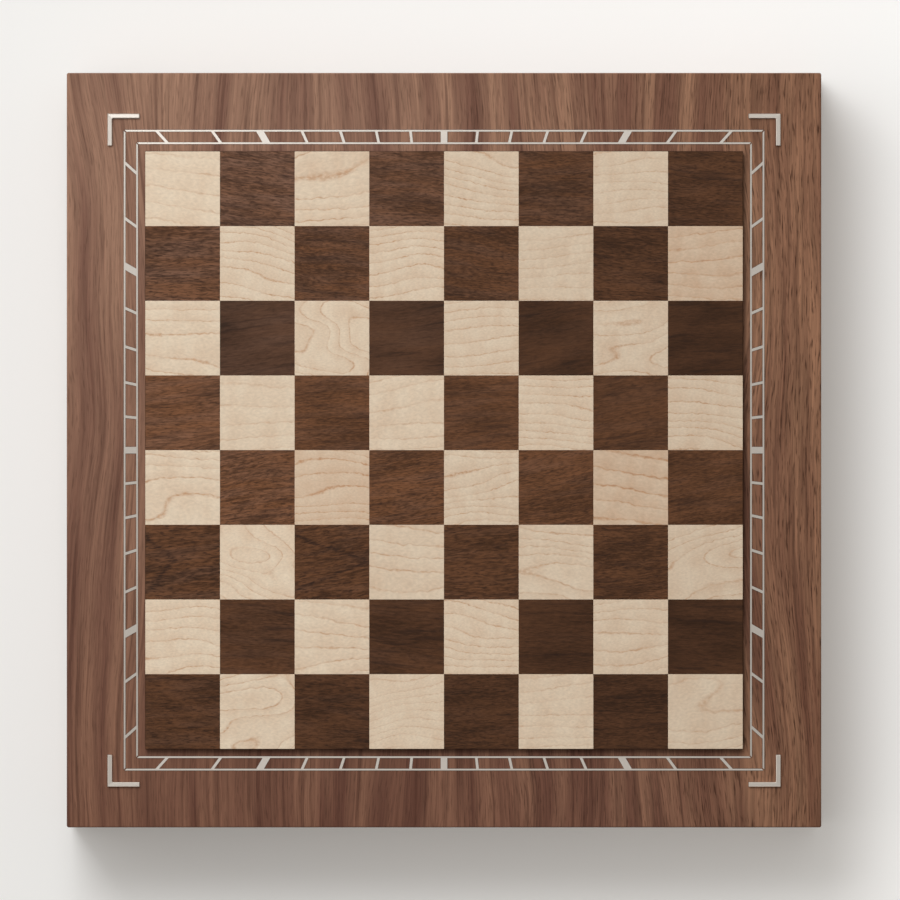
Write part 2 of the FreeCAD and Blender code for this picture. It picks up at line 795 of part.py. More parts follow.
def beam_end(name, side, shelf_hole):
    """The moulded end of the beam: bearing seat, rod sockets, belt clamp and pulley shelf."""
    body = block(
        name + "_body",
        span(side, "block_face", "rod_x + block_half_height"),
        both("block_half_width"),
        about("axis_z", "block_half_height"),
    )
    shelf = block(
        name + "_shelf",
        span(side, "cross_pulley_x - can_radius", "cross_pulley_x + can_radius"),
        span(-1, "block_half_width", "cross_belt_y + can_radius"),
        ("block_bottom", "block_bottom + shelf_thickness"),
    )
    clamp = block(
        name + "_clamp",
        span(side, "rod_x - clamp_half", "rod_x + clamp_half"),
        both("clamp_length / 2"),
        ("run_bottom - belt_room - jaw_thickness", "block_bottom"),
    )
    slot_half = "(belt_width / 2 + belt_room)"
    slot = block(
        name + "_slot",
        span(side, f"rod_x - {slot_half}", f"rod_x + {slot_half}"),
        both("clamp_length"),
        ("run_bottom - belt_room", "run_top + belt_room"),
    )
    start = (f"{side} * rod_x", "-block_half_width - 1", "axis_z")
    tools = [slot]
    tools.append(
        cylinder(name + "_seat", "ball_bearing_radius + seat_gap", "2 * block_half_width + 2", start, "y")
    )
    for across in SIDES.values():
        low = "block_face - 1" if side > 0 else "-block_face - rod_socket"
        start = (low, f"{across} * cross_rod_y", "axis_z")
        tools.append(cylinder(name + "_socket", "cross_rod_radius + seat_gap", "rod_socket + 1", start, "x"))
    start = (f"{side} * cross_pulley_x", "-cross_belt_y", "block_bottom - 1")
    tools.append(cylinder(name + "_hole", shelf_hole, "shelf_thickness + 2", start))
    return cut(name, fuse(name + "_mould", [body, shelf, clamp]), tools)


def make_beam():
    """The beam: two moulded ends on ball bearings, joined by the cross rods."""
    piece("beam_end_left", beam_end("beam_end_left", -1, "can_boss_radius + seat_gap"))
    piece("beam_end_right", beam_end("beam_end_right", 1, "cross_pin_radius + seat_gap"))
    bearings, rods = [], []
    ring = ("long_rod_radius + run_gap", "ball_bearing_radius", "ball_bearing_length")
    for side in SIDES.values():
        bearings.append(sleeve("ball_bearing", *ring, (f"{side} * rod_x", 0, "axis_z"), "y"))
        start = ("-(block_face + rod_socket)", f"{side} * cross_rod_y", "axis_z")
        rods.append(cylinder("cross_rod", "cross_rod_radius", "2 * (block_face + rod_socket)", start, "x"))
    piece("beam_bearings", group("beam_bearings", bearings))
    piece("cross_rods", group("cross_rods", rods))


def make_cross_drive():
    """The can motor, belt and pulleys that pull the carriage along the beam."""
    middle = ("-cross_pulley_x", "-cross_belt_y")
    bore = "can_shaft_radius + run_gap"
    deep = "can_height - can_shaft_depth"
    top = "can_height + shelf_thickness"
    corners = [(0, 0), ("can_radius", 0), ("can_radius", "can_height"), ("can_boss_radius", "can_height")]
    corners += [("can_boss_radius", top), (bore, top), (bore, deep), (0, deep)]
    piece("cross_motor", turned("cross_motor", corners, (*middle, "block_bottom - can_height")))
    start = (*middle, "block_bottom - can_shaft_depth + run_gap")
    length = "cross_pulley_z + pulley_half - block_bottom + can_shaft_depth - run_gap"
    piece("cross_motor_shaft", cylinder("cross_motor_shaft", "can_shaft_radius", length, start))
    wheel = ("cross_pulley_radius", "cross_flange_radius")
    drive = pulley("cross_drive", "can_shaft_radius + seat_gap", *wheel, (*middle, "cross_pulley_z"), "z")
    piece("cross_drive_pulley", drive)
    middle = ("cross_pulley_x", "-cross_belt_y")
    idler = pulley("cross_idler", "cross_pin_radius + run_gap", *wheel, (*middle, "cross_pulley_z"), "z")
    piece("cross_idler_pulley", idler)
    length = "cross_pulley_z + pulley_half - block_bottom"
    pin = cylinder("cross_idler_pin", "cross_pin_radius", length, (*middle, "block_bottom"))
    piece("cross_idler_pin", pin)
    loop = belt("cross_belt", "(cross_pulley_radius + belt_gap)", "cross_pulley_x")
    piece("cross_belt", place(loop, (0, "-cross_belt_y", "cross_pulley_z")))


# Magnet carriage


def make_carriage():
    """The carriage on the cross rods, with its belt arm, bushes and electromagnet."""
    body = block(
        "carriage_body",
        both("carriage_half_length"),
        both("carriage_half_width"),
        about("axis_z", "carriage_half_height"),
    )
    slot_half = "(belt_width / 2 + belt_room)"
    arm = block(
        "carriage_arm",
        both("arm_width / 2"),
        span(-1, "carriage_half_width", "near_run_inside + belt_room + jaw_thickness"),
        about("cross_pulley_z", f"({slot_half} + arm_wall)"),
    )
    slot = block(
        "carriage_slot",
        both("arm_width"),
        span(-1, "near_run_inside - belt_thickness - belt_room", "near_run_inside + belt_room"),
        about("cross_pulley_z", slot_half),
    )
    pocket = cylinder(
        "magnet_pocket", "magnet_radius + seat_gap", "2 * carriage_half_height", (0, 0, "magnet_bottom")
    )
    tools = [slot, pocket]
    bushes = []
    ring = ("cross_rod_radius + run_gap", "bush_radius", "bush_length")
    for across in SIDES.values():
        start = ("-carriage_half_length - 1", f"{across} * cross_rod_y", "axis_z")
        length = "2 * carriage_half_length + 2"
        tools.append(cylinder("bush_seat", "bush_radius + seat_gap", length, start, "x"))
        for along in SIDES.values():
            middle = (f"{along} * bush_spread", f"{across} * cross_rod_y", "axis_z")
            bushes.append(sleeve("bush", *ring, middle, "x"))
    piece("carriage_block", cut("carriage_block", fuse("carriage_mould", [body, arm]), tools))
    piece("carriage_bushes", group("carriage_bushes", bushes))
    inside = "magnet_radius - magnet_wall"
    cup = [(0, 0), ("magnet_radius", 0), ("magnet_radius", "magnet_height"), (inside, "magnet_height")]
    cup += [(inside, "magnet_floor"), ("magnet_core_radius", "magnet_floor")]
    cup += [("magnet_core_radius", "magnet_height"), (0, "magnet_height")]
    piece("magnet_pot", turned("magnet_pot", cup, (0, 0, "magnet_bottom")))
    near = "magnet_core_radius + coil_gap"
    far = f"{inside} - coil_gap"
    top = "magnet_height - coil_sink"
    coil = [(near, "magnet_floor"), (far, "magnet_floor"), (far, top), (near, top)]
    piece("magnet_coil", turned("magnet_coil", coil, (0, 0, "magnet_bottom")))


# Electronics on the base


def make_main_board():
    """The main board on its standoffs, with its processor, radio, drivers and headers."""
    x = both("board_length / 2")
    y = about("board_middle", "board_width / 2")
    slab = block("board_slab", x, y, ("board_bottom", "board_top"))
    standoffs, screws, holes = [], [], []
    for along in SIDES.values():
        for across in SIDES.values():
            px = f"{along} * (board_length / 2 - standoff_inset)"
            py = f"board_middle + {across} * (board_width / 2 - standoff_inset)"
            hole = "board_screw_radius + screw_gap"
            sleeve = [(hole, 0), ("standoff_radius", 0), ("standoff_radius", "standoff_height")]
            sleeve += [(hole, "standoff_height")]
            standoffs.append(turned("standoff", sleeve, (px, py, "base_top")))
            tip = "-board_screw_length"
            head = "board_screw_head_height"
            bolt = [(0, tip), ("board_screw_radius", tip), ("board_screw_radius", 0)]
            bolt += [("board_screw_head_radius", 0), ("board_screw_head_radius", head), (0, head)]
            screws.append(turned("board_screw", bolt, (px, py, "board_top")))
            holes.append(cylinder("board_hole", hole, "board_thickness + 2", (px, py, "board_bottom - 1")))
    piece("main_board", cut("main_board", slab, holes))
    piece("board_standoffs", group("board_standoffs", standoffs))
    piece("board_screws", group("board_screws", screws))
    edge = "(board_length / 2 - part_margin)"
    near = "(board_middle - board_width / 2 + part_margin)"
    far = "(board_middle + board_width / 2 - part_margin)"
    parts = []
    x = about("-processor_place", "processor_side / 2")
    y = about("board_middle", "processor_side / 2")
    parts.append(block("processor", x, y, ("board_top", "board_top + processor_height")))
    x = (f"{edge} - radio_width", edge)
    y = (f"{far} - radio_length", far)
    parts.append(block("radio", x, y, ("board_top", "board_top + radio_height")))
    for step in range(3):
        x = about(f"{step} * driver_pitch", "driver_side / 2")
        y = (near, f"{near} + driver_side")
        parts.append(block("driver", x, y, ("board_top", "board_top + driver_height")))
    for y in ((near, f"{near} + header_width"), (f"{far} - header_width", far)):
        x = about("-processor_place", "header_length / 2")
        parts.append(block("header", x, y, ("board_top", "board_top + header_height")))
    piece("main_board_parts", group("main_board_parts", parts))


def make_battery():
    """Two lithium cells in an open holder."""
    half_length = "(cell_length / 2 + holder_wall)"
    half_width = "(cell_spacing / 2 + cell_radius + holder_wall)"
    tray = block(
        "holder_tray",
        both(half_length),
        about("-battery_middle", half_width),
        ("base_top", "base_top + holder_height"),
    )
    z = "base_top + holder_wall + cell_radius"
    cells, troughs = [], []
    for across in SIDES.values():
        y = f"-battery_middle + {across} * cell_spacing / 2"
        start = ("-cell_length / 2", y, z)
        cells.append(cylinder("cell", "cell_radius", "cell_length", start, "x"))
        troughs.append(cylinder("trough", "cell_radius + seat_gap", "cell_length", start, "x"))
    piece("battery_holder", cut("battery_holder", tray, troughs))
    piece("battery_cells", group("battery_cells", cells))


def make_speaker():
    """The loudspeaker, face down over the grille in the base."""
    flange = "2 * speaker_wall"
    neck = "(speaker_height - speaker_magnet_height)"
    shell = [("speaker_mouth", 0), ("speaker_radius", 0), ("speaker_radius", flange)]
    shell += [("speaker_mouth + speaker_wall", flange), ("speaker_magnet_radius", neck)]
    shell += [("speaker_magnet_radius", "speaker_height"), (0, "speaker_height")]
    shell += [(0, f"{neck} + speaker_wall")]
    shell += [("speaker_magnet_radius - 2 * speaker_wall", f"{neck} + speaker_wall")]
    shell += [("speaker_mouth", flange)]
    at = ("speaker_place", "-speaker_place", "base_top")
    piece("speaker_basket", turned("speaker_basket", shell, at))
    rim = "speaker_mouth - run_gap"
    dome = "speaker_magnet_radius / 2"
    deep = f"{neck} - speaker_wall"
    cone = [(rim, "speaker_wall / 2"), (rim, "speaker_wall"), (dome, deep), (0, deep)]
    cone += [(0, f"{deep} - speaker_wall / 2"), (dome, f"{deep} - speaker_wall / 2")]
    piece("speaker_cone", turned("speaker_cone", cone, at))


def make_back_panel():
    """The small upright board behind the back wall: socket, switch and the button in front of it."""
    x = ("socket_board_start", "socket_board_end")
    z = about("socket_z", "socket_board_height / 2")
    back = "socket_board_face - board_thickness"
    piece("socket_board", block("socket_board", x, (back, "socket_board_face"), z))
    posts = []
    for post_x in ("socket_board_start + post_inset", "socket_board_end - post_inset"):
        start = (post_x, "socket_board_face", "socket_z")
        posts.append(cylinder("post", "post_radius", "inner_half - socket_board_face", start, "y"))
    piece("socket_posts", group("socket_posts", posts))
    shell = block(
        "usb_shell",
        about("socket_place", "usb_width / 2"),
        ("socket_board_face", "recess_floor"),
        about("socket_z", "usb_height / 2"),
    )
    hollow = block(
        "usb_hollow",
        about("socket_place", "(usb_width / 2 - usb_wall)"),
        ("socket_board_face + 2 * usb_wall", "recess_floor + 1"),
        about("socket_z", "(usb_height / 2 - usb_wall)"),
    )
    tongue = block(
        "usb_tongue",
        about("socket_place", "usb_tongue_width / 2"),
        ("socket_board_face + usb_wall", "recess_floor - 2 * usb_wall"),
        about("socket_z", "usb_tongue_height / 2"),
    )
    piece("usb_socket", fuse("usb_socket", [cut("usb_can", shell, [hollow]), tongue]))
    half = "switch_side / 2"
    top = "button_back - button_travel - button_gap"
    x = about("button_place", half)
    z = about("socket_z", half)
    piece("power_switch", block("power_switch", x, ("socket_board_face", top), z))
    long = "button_flange + button_gap + wall_thickness"
    cap = [(0, 0), ("button_flange_radius", 0), ("button_flange_radius", "button_flange")]
    cap += [("button_radius", "button_flange"), ("button_radius", f"{long} - button_rim")]
    cap += [("button_radius - button_rim", long), (0, long)]
    piece("power_button", turned("power_button", cap, ("button_place", "button_back", "socket_z"), "y"))


def check_document():
    """Stops the build if a feature failed or a piece is not a sound solid."""
    for feature in doc.Objects:
        if {"Invalid", "Error"} & set(feature.State):
            raise RuntimeError(f"{feature.Name} failed: {feature.State}")
    for feature in PIECES:
        shape = feature.Shape
        if shape.isNull() or not shape.isValid() or not shape.Solids:
            raise RuntimeError(f"{feature.Label} is not a sound solid")


def write_pieces():
    """Writes each piece to its own file, named by its label."""
    os.makedirs("parts", exist_ok=True)
    for feature in PIECES:
        feature.Shape.exportStep(f"parts/{feature.Label}.step")
        print(f"{feature.Label}: {len(feature.Shape.Solids)} solids, {feature.Shape.Volume:.1f} mm3")


fill_sheet()
make_field()
make_sensor_board()
make_top_panel()
make_track()
make_corner_brackets()
make_case()
make_long_axis()
make_shaft_motor()
make_beam()
make_cross_drive()
make_carriage()
make_main_board()
make_battery()
make_speaker()
make_back_panel()
doc.recompute()
check_document()
write_pieces()
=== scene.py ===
import json
import math
import random

import bmesh
import bpy
from mathutils import Matrix, Vector


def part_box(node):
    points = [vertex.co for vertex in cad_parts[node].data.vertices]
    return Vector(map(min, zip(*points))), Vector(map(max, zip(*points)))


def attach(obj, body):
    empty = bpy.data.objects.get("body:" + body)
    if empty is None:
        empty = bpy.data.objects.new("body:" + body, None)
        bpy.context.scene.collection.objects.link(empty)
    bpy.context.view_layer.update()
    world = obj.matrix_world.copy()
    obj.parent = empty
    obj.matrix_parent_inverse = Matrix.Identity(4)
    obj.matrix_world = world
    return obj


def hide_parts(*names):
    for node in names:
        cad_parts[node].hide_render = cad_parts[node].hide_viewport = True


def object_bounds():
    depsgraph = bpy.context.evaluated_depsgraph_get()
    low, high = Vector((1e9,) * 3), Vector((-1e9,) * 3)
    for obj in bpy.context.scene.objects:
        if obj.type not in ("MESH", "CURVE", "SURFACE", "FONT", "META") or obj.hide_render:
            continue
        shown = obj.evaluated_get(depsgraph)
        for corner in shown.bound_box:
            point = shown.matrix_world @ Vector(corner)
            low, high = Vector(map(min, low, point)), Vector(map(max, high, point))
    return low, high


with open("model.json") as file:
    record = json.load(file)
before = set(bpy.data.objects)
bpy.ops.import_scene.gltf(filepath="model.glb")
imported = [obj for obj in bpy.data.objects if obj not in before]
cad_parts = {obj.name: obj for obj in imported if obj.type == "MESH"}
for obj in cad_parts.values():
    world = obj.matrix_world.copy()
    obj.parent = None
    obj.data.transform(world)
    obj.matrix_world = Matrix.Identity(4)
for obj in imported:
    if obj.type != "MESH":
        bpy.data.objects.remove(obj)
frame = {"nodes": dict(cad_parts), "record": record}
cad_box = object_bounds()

# A chess computer in a flat walnut case, seen from straight above: a raised field of maple and
# walnut squares, a silver minute track let into the border, and four silver corner brackets.
# Lengths are in metres, and a number that ends in _mm is in millimetres.

MM = 0.001

# Two places closer than this are the same.
CLOSE = 0.01 * MM


def linear(hex_colour):
    """Turns an sRGB hex colour into the linear colour that the shaders use."""
    channels = [int(hex_colour[place:place + 2], 16) / 255 for place in (1, 3, 5)]
    lit = [c / 12.92 if c <= 0.04045 else ((c + 0.055) / 1.055) ** 2.4 for c in channels]
    return (*lit, 1.0)


def add(tree, kind, inputs, **settings):
    """Adds a node with its settings, and fills its inputs with values or links."""
    node = tree.nodes.new("ShaderNode" + kind)
    for name, value in settings.items():
        setattr(node, name, value)
    for key, value in inputs.items():
        if isinstance(key, int):
            socket = node.inputs[key]
        else:
            socket = next(s for s in node.inputs if s.enabled and s.name == key)
        if isinstance(value, bpy.types.Node):
            value = next(s for s in value.outputs if s.enabled)
        if isinstance(value, bpy.types.NodeSocket):
            tree.links.new(value, socket)
        else:
            socket.default_value = value
    return node


def finish(name, make_surface, **plain):
    """A material whose patterns come from make_surface and whose even values sit on the shader."""
    made = bpy.data.materials.new(name)
    made.use_nodes = True
    tree = made.node_tree
    tree.nodes.clear()
    shader = add(tree, "BsdfPrincipled", {**plain, **make_surface(tree)})
    add(tree, "OutputMaterial", {"Surface": shader})
    return made


# Wood

def grain_layers(tree, place, layers):
    """One noise for each layer of a wood's figure, sized by the length and width of its marks."""
    found = {}
    for name, (length_mm, width_mm, detail) in layers.items():
        size = (1 / (length_mm * MM), 1 / (width_mm * MM), 1 / (width_mm * MM))
        sized = add(tree, "Mapping", {"Vector": place, "Scale": size})
        found[name] = add(tree, "TexNoise", {"Vector": sized, "Scale": 1.0, "Detail": detail})
    return found


def swayed(tree, place, length_mm, width_mm, sway_mm):
    """Bends straight grain sideways in long waves."""
    wave = grain_layers(tree, place, {"wave": (length_mm, width_mm, 1.0)})["wave"]
    push = (0.0, sway_mm * MM, 0.0)
    return add(
        tree, "VectorMath", {0: wave.outputs["Color"], 1: push, 2: place}, operation="MULTIPLY_ADD"
    )


def case_grain(tree, place, turn, turn_at_ends):
    """The place on the case, turned so that the grain runs along the pattern's first axis. The
    faces that look along Y can have a turn of their own."""
    along = add(tree, "Mapping", {"Vector": place, "Rotation": (0.0, 0.0, math.radians(turn))})
    at_ends = add(tree, "Mapping", {
        "Vector": place, "Rotation": (0.0, 0.0, math.radians(turn_at_ends)),
    })
    faces = add(tree, "NewGeometry", {}).outputs["Normal"]
    facing_y = add(tree, "Math", {
        0: add(tree, "SeparateXYZ", {0: faces}).outputs["Y"],
    }, operation="ABSOLUTE")
    is_end = add(tree, "Math", {0: facing_y, 1: 0.7}, operation="GREATER_THAN")
    return add(tree, "Mix", {"Factor": is_end, "A": along, "B": at_ends}, data_type="VECTOR")


def walnut_case(name, turn, turn_at_ends):
    """Sliced walnut veneer with a matt oil finish. The eye gets broad soft bands of tan and brown,
    many thin growth lines, fine fibres and dark pores. The colour carries painted sheen: paler and
    cooler to the left, and browner to the right where the sheen fades. It is darkest in the near
    left corner, partly from the wood's tone and partly as painted shade. The grain is more open to
    the right."""

    def surface(tree):
        place = add(tree, "TexCoord", {}).outputs["Object"]
        straight = case_grain(tree, place, turn, turn_at_ends)
        long_waves = swayed(tree, straight, 240.0, 90.0, 44.0)
        grain = swayed(tree, long_waves, 26.0, 9.0, 1.2)
        # Real pores are 0.2 mm wide. They are drawn 0.7 mm wide, about one pixel of the picture.
        layer = grain_layers(tree, grain, {
            "band": (260.0, 14.0, 2.0),
            "line": (110.0, 2.4, 2.0),
            "fibre": (40.0, 0.8, 2.0),
            "pore": (10.0, 0.7, 2.0),
        })
        side = add(tree, "SeparateXYZ", {0: place})
        rightward = add(tree, "MapRange", {
            "Value": side.outputs["X"], "From Min": -0.05, "From Max": 0.22,
        })
        nearer = add(tree, "MapRange", {
            "Value": side.outputs["Y"], "From Min": 0.16, "From Max": -0.22,
        })
        leftward = add(tree, "MapRange", {
            "Value": side.outputs["X"], "From Min": 0.2, "From Max": 0.04,
        })
        near_left = add(tree, "Math", {0: nearer, 1: leftward}, operation="MULTIPLY")
        band = add(tree, "MapRange", {
            "Value": layer["band"], "From Min": 0.36, "From Max": 0.64,
        })
        colour = add(tree, "Mix", {
            "Factor": band, "A": linear("#795546"), "B": linear("#9c7660"),
        }, data_type="RGBA")
        line = add(tree, "MapRange", {
            "Value": layer["line"], "From Min": 0.46, "From Max": 0.72, "To Max": 0.58,
        }, interpolation_type="SMOOTHSTEP")
        colour = add(tree, "Mix", {
            "Factor": line, "A": colour, "B": linear("#5d3d31"),
        }, data_type="RGBA")
        fibre = add(tree, "MapRange", {
            "Value": layer["fibre"], "From Min": 0.3, "From Max": 0.7,
            "To Min": -1.0, "To Max": 1.0,
        })
        contrast = add(tree, "MapRange", {"Value": rightward, "To Min": 0.16, "To Max": 0.28})
        fibre = add(tree, "Math", {0: fibre, 1: contrast, 2: 1.0}, operation="MULTIPLY_ADD")
        colour = add(tree, "Mix", {
            "Factor": 1.0, "A": colour, "B": fibre,
        }, data_type="RGBA", blend_type="MULTIPLY")
        pore = add(tree, "MapRange", {
            "Value": layer["pore"], "From Min": 0.54, "From Max": 0.72,
        })
        openness = add(tree, "MapRange", {"Value": rightward, "To Min": 0.4, "To Max": 0.95})
        pore = add(tree, "Math", {0: pore, 1: openness}, operation="MULTIPLY")
        colour = add(tree, "Mix", {
            "Factor": pore, "A": colour, "B": linear("#43291d"),
        }, data_type="RGBA")
        # Painted sheen and shade over the whole sheet: paler and cooler to the left, browner to the
        # right, and darker towards the near left corner, partly from the wood's tone and partly as
        # painted shade.
        painted_sheen_and_shade = add(tree, "Mix", {
            "Factor": rightward, "A": linear("#f8fbfe"), "B": linear("#f0e9dd"),
        }, data_type="RGBA")
        painted_sheen_and_shade = add(tree, "Mix", {
            "Factor": near_left, "A": painted_sheen_and_shade, "B": linear("#d5c9c6"),
        }, data_type="RGBA")
        colour = add(tree, "Mix", {
            "Factor": 1.0, "A": colour, "B": painted_sheen_and_shade,
        }, data_type="RGBA", blend_type="MULTIPLY")
        rough = add(tree, "MapRange", {"Value": pore, "To Min": 0.5, "To Max": 0.7})
        dent = add(tree, "Bump", {
            "Height": pore, "Strength": 0.3, "Distance": 0.05 * MM,
        }, invert=True)
        return {"Base Color": colour, "Roughness": rough, "Normal": dent}

    return finish(name, surface, **{"Specular IOR Level": 0.12})


def walnut_squares():
    """Dark walnut veneer squares with a matt oil finish. The grain runs across the board, with fine
    fibres, soft darker streaks and short black pores. Each rank is cut from its own strip, so its
    tone differs, and some squares have a pointed growth line. Along each rank the squares also get
    darker and warmer to the right, partly from their own tone and partly as painted sheen that
    fades from the left."""

    def surface(tree):
        cut = add(tree, "Attribute", {}, attribute_name="cut").outputs["Vector"]
        tone = add(tree, "Attribute", {}, attribute_name="tone").outputs["Fac"]
        warmth = add(tree, "Attribute", {}, attribute_name="warmth").outputs["Fac"]
        open_grain = add(tree, "Attribute", {}, attribute_name="open_grain").outputs["Fac"]
        point = add(tree, "Attribute", {}, attribute_name="point").outputs["Fac"]
        slimness = add(tree, "Attribute", {}, attribute_name="slimness").outputs["Fac"]
        spot = add(tree, "Attribute", {}, attribute_name="spot").outputs["Vector"]
        long_waves = swayed(tree, cut, 70.0, 30.0, 8.0)
        grain = swayed(tree, long_waves, 9.0, 4.0, 0.6)
        # Real pores are 0.2 mm wide. They are drawn 0.7 mm wide, about one pixel of the picture.
        layer = grain_layers(tree, grain, {
            "cloud": (50.0, 14.0, 1.0),
            "hue": (40.0, 6.0, 1.0),
            "smear": (32.0, 2.6, 2.0),
            "streak": (16.0, 1.4, 2.0),
            "fibre": (4.0, 0.7, 2.0),
            "pore": (3.2, 0.7, 2.0),
        })
        cloud = add(tree, "MapRange", {
            "Value": layer["cloud"], "From Min": 0.3, "From Max": 0.7,
            "To Min": 0.2, "To Max": 0.8,
        })
        streak = add(tree, "MapRange", {
            "Value": layer["streak"], "From Min": 0.3, "From Max": 0.7,
            "To Min": -0.35, "To Max": 0.35,
        })
        fibre = add(tree, "MapRange", {
            "Value": layer["fibre"], "From Min": 0.3, "From Max": 0.7,
            "To Min": -0.6, "To Max": 0.6,
        })
        lines = add(tree, "Math", {0: streak, 1: fibre}, operation="ADD")
        paleness = add(tree, "Math", {
            0: lines, 1: open_grain, 2: cloud,
        }, operation="MULTIPLY_ADD")
        hue = add(tree, "MapRange", {
            "Value": layer["hue"], "From Min": 0.35, "From Max": 0.65,
            "To Min": -0.35, "To Max": 0.35,
        })
        hue = add(tree, "Math", {0: hue, 1: open_grain, 2: warmth}, operation="MULTIPLY_ADD")
        dark_wood = add(tree, "Mix", {
            "Factor": hue, "A": linear("#52392b"), "B": linear("#52341f"),
        }, data_type="RGBA")
        pale_wood = add(tree, "Mix", {
            "Factor": hue, "A": linear("#825f4c"), "B": linear("#825639"),
        }, data_type="RGBA")
        colour = add(tree, "Mix", {
            "Factor": paleness, "A": dark_wood, "B": pale_wood,
        }, data_type="RGBA")
        smear = add(tree, "MapRange", {
            "Value": layer["smear"], "From Min": 0.54, "From Max": 0.72, "To Max": 0.45,
        }, interpolation_type="SMOOTHSTEP")
        # A pointed line runs where the way along the square, and the way to its side times the
        # line's slimness, add up to the place of the point.
        ways = add(tree, "SeparateXYZ", {0: spot})
        aside = add(tree, "Math", {0: ways.outputs["Y"]}, operation="ABSOLUTE")
        reach = add(tree, "Math", {
            0: aside, 1: slimness, 2: ways.outputs["X"],
        }, operation="MULTIPLY_ADD")
        reach = add(tree, "Math", {
            0: layer["hue"], 1: 14.0 * MM, 2: reach,
        }, operation="MULTIPLY_ADD")
        from_vein = add(tree, "Math", {0: reach, 1: point}, operation="SUBTRACT")
        from_vein = add(tree, "Math", {0: from_vein}, operation="ABSOLUTE")
        vein = add(tree, "MapRange", {
            "Value": from_vein, "From Max": 5.0 * MM, "To Min": 0.85, "To Max": 0.0,
        }, interpolation_type="SMOOTHSTEP")
        broken = add(tree, "MapRange", {
            "Value": layer["fibre"], "From Min": 0.35, "From Max": 0.6,
            "To Min": 1.0, "To Max": 0.4,
        })
        vein = add(tree, "Math", {0: vein, 1: broken}, operation="MULTIPLY")
        smear = add(tree, "Math", {0: smear, 1: vein}, operation="MAXIMUM")
        colour = add(tree, "Mix", {
            "Factor": smear, "A": colour, "B": linear("#33221b"),
        }, data_type="RGBA")
        pore = add(tree, "MapRange", {
            "Value": layer["pore"], "From Min": 0.54, "From Max": 0.68, "To Max": 0.8,
        })
        pore = add(tree, "Math", {0: pore, 1: open_grain}, operation="MULTIPLY")
        colour = add(tree, "Mix", {
            "Factor": pore, "A": colour, "B": linear("#38241a"),
        }, data_type="RGBA")
        colour = add(tree, "Mix", {
            "Factor": 1.0, "A": colour, "B": tone,
        }, data_type="RGBA", blend_type="MULTIPLY")
        rough = add(tree, "MapRange", {"Value": pore, "To Min": 0.5, "To Max": 0.7})
        dent = add(tree, "Bump", {
            "Height": pore, "Strength": 0.3, "Distance": 0.05 * MM,
        }, invert=True)
        return {"Base Color": colour, "Roughness": rough, "Normal": dent}

    return finish("dark_walnut_veneer", surface, **{"Specular IOR Level": 0.12})


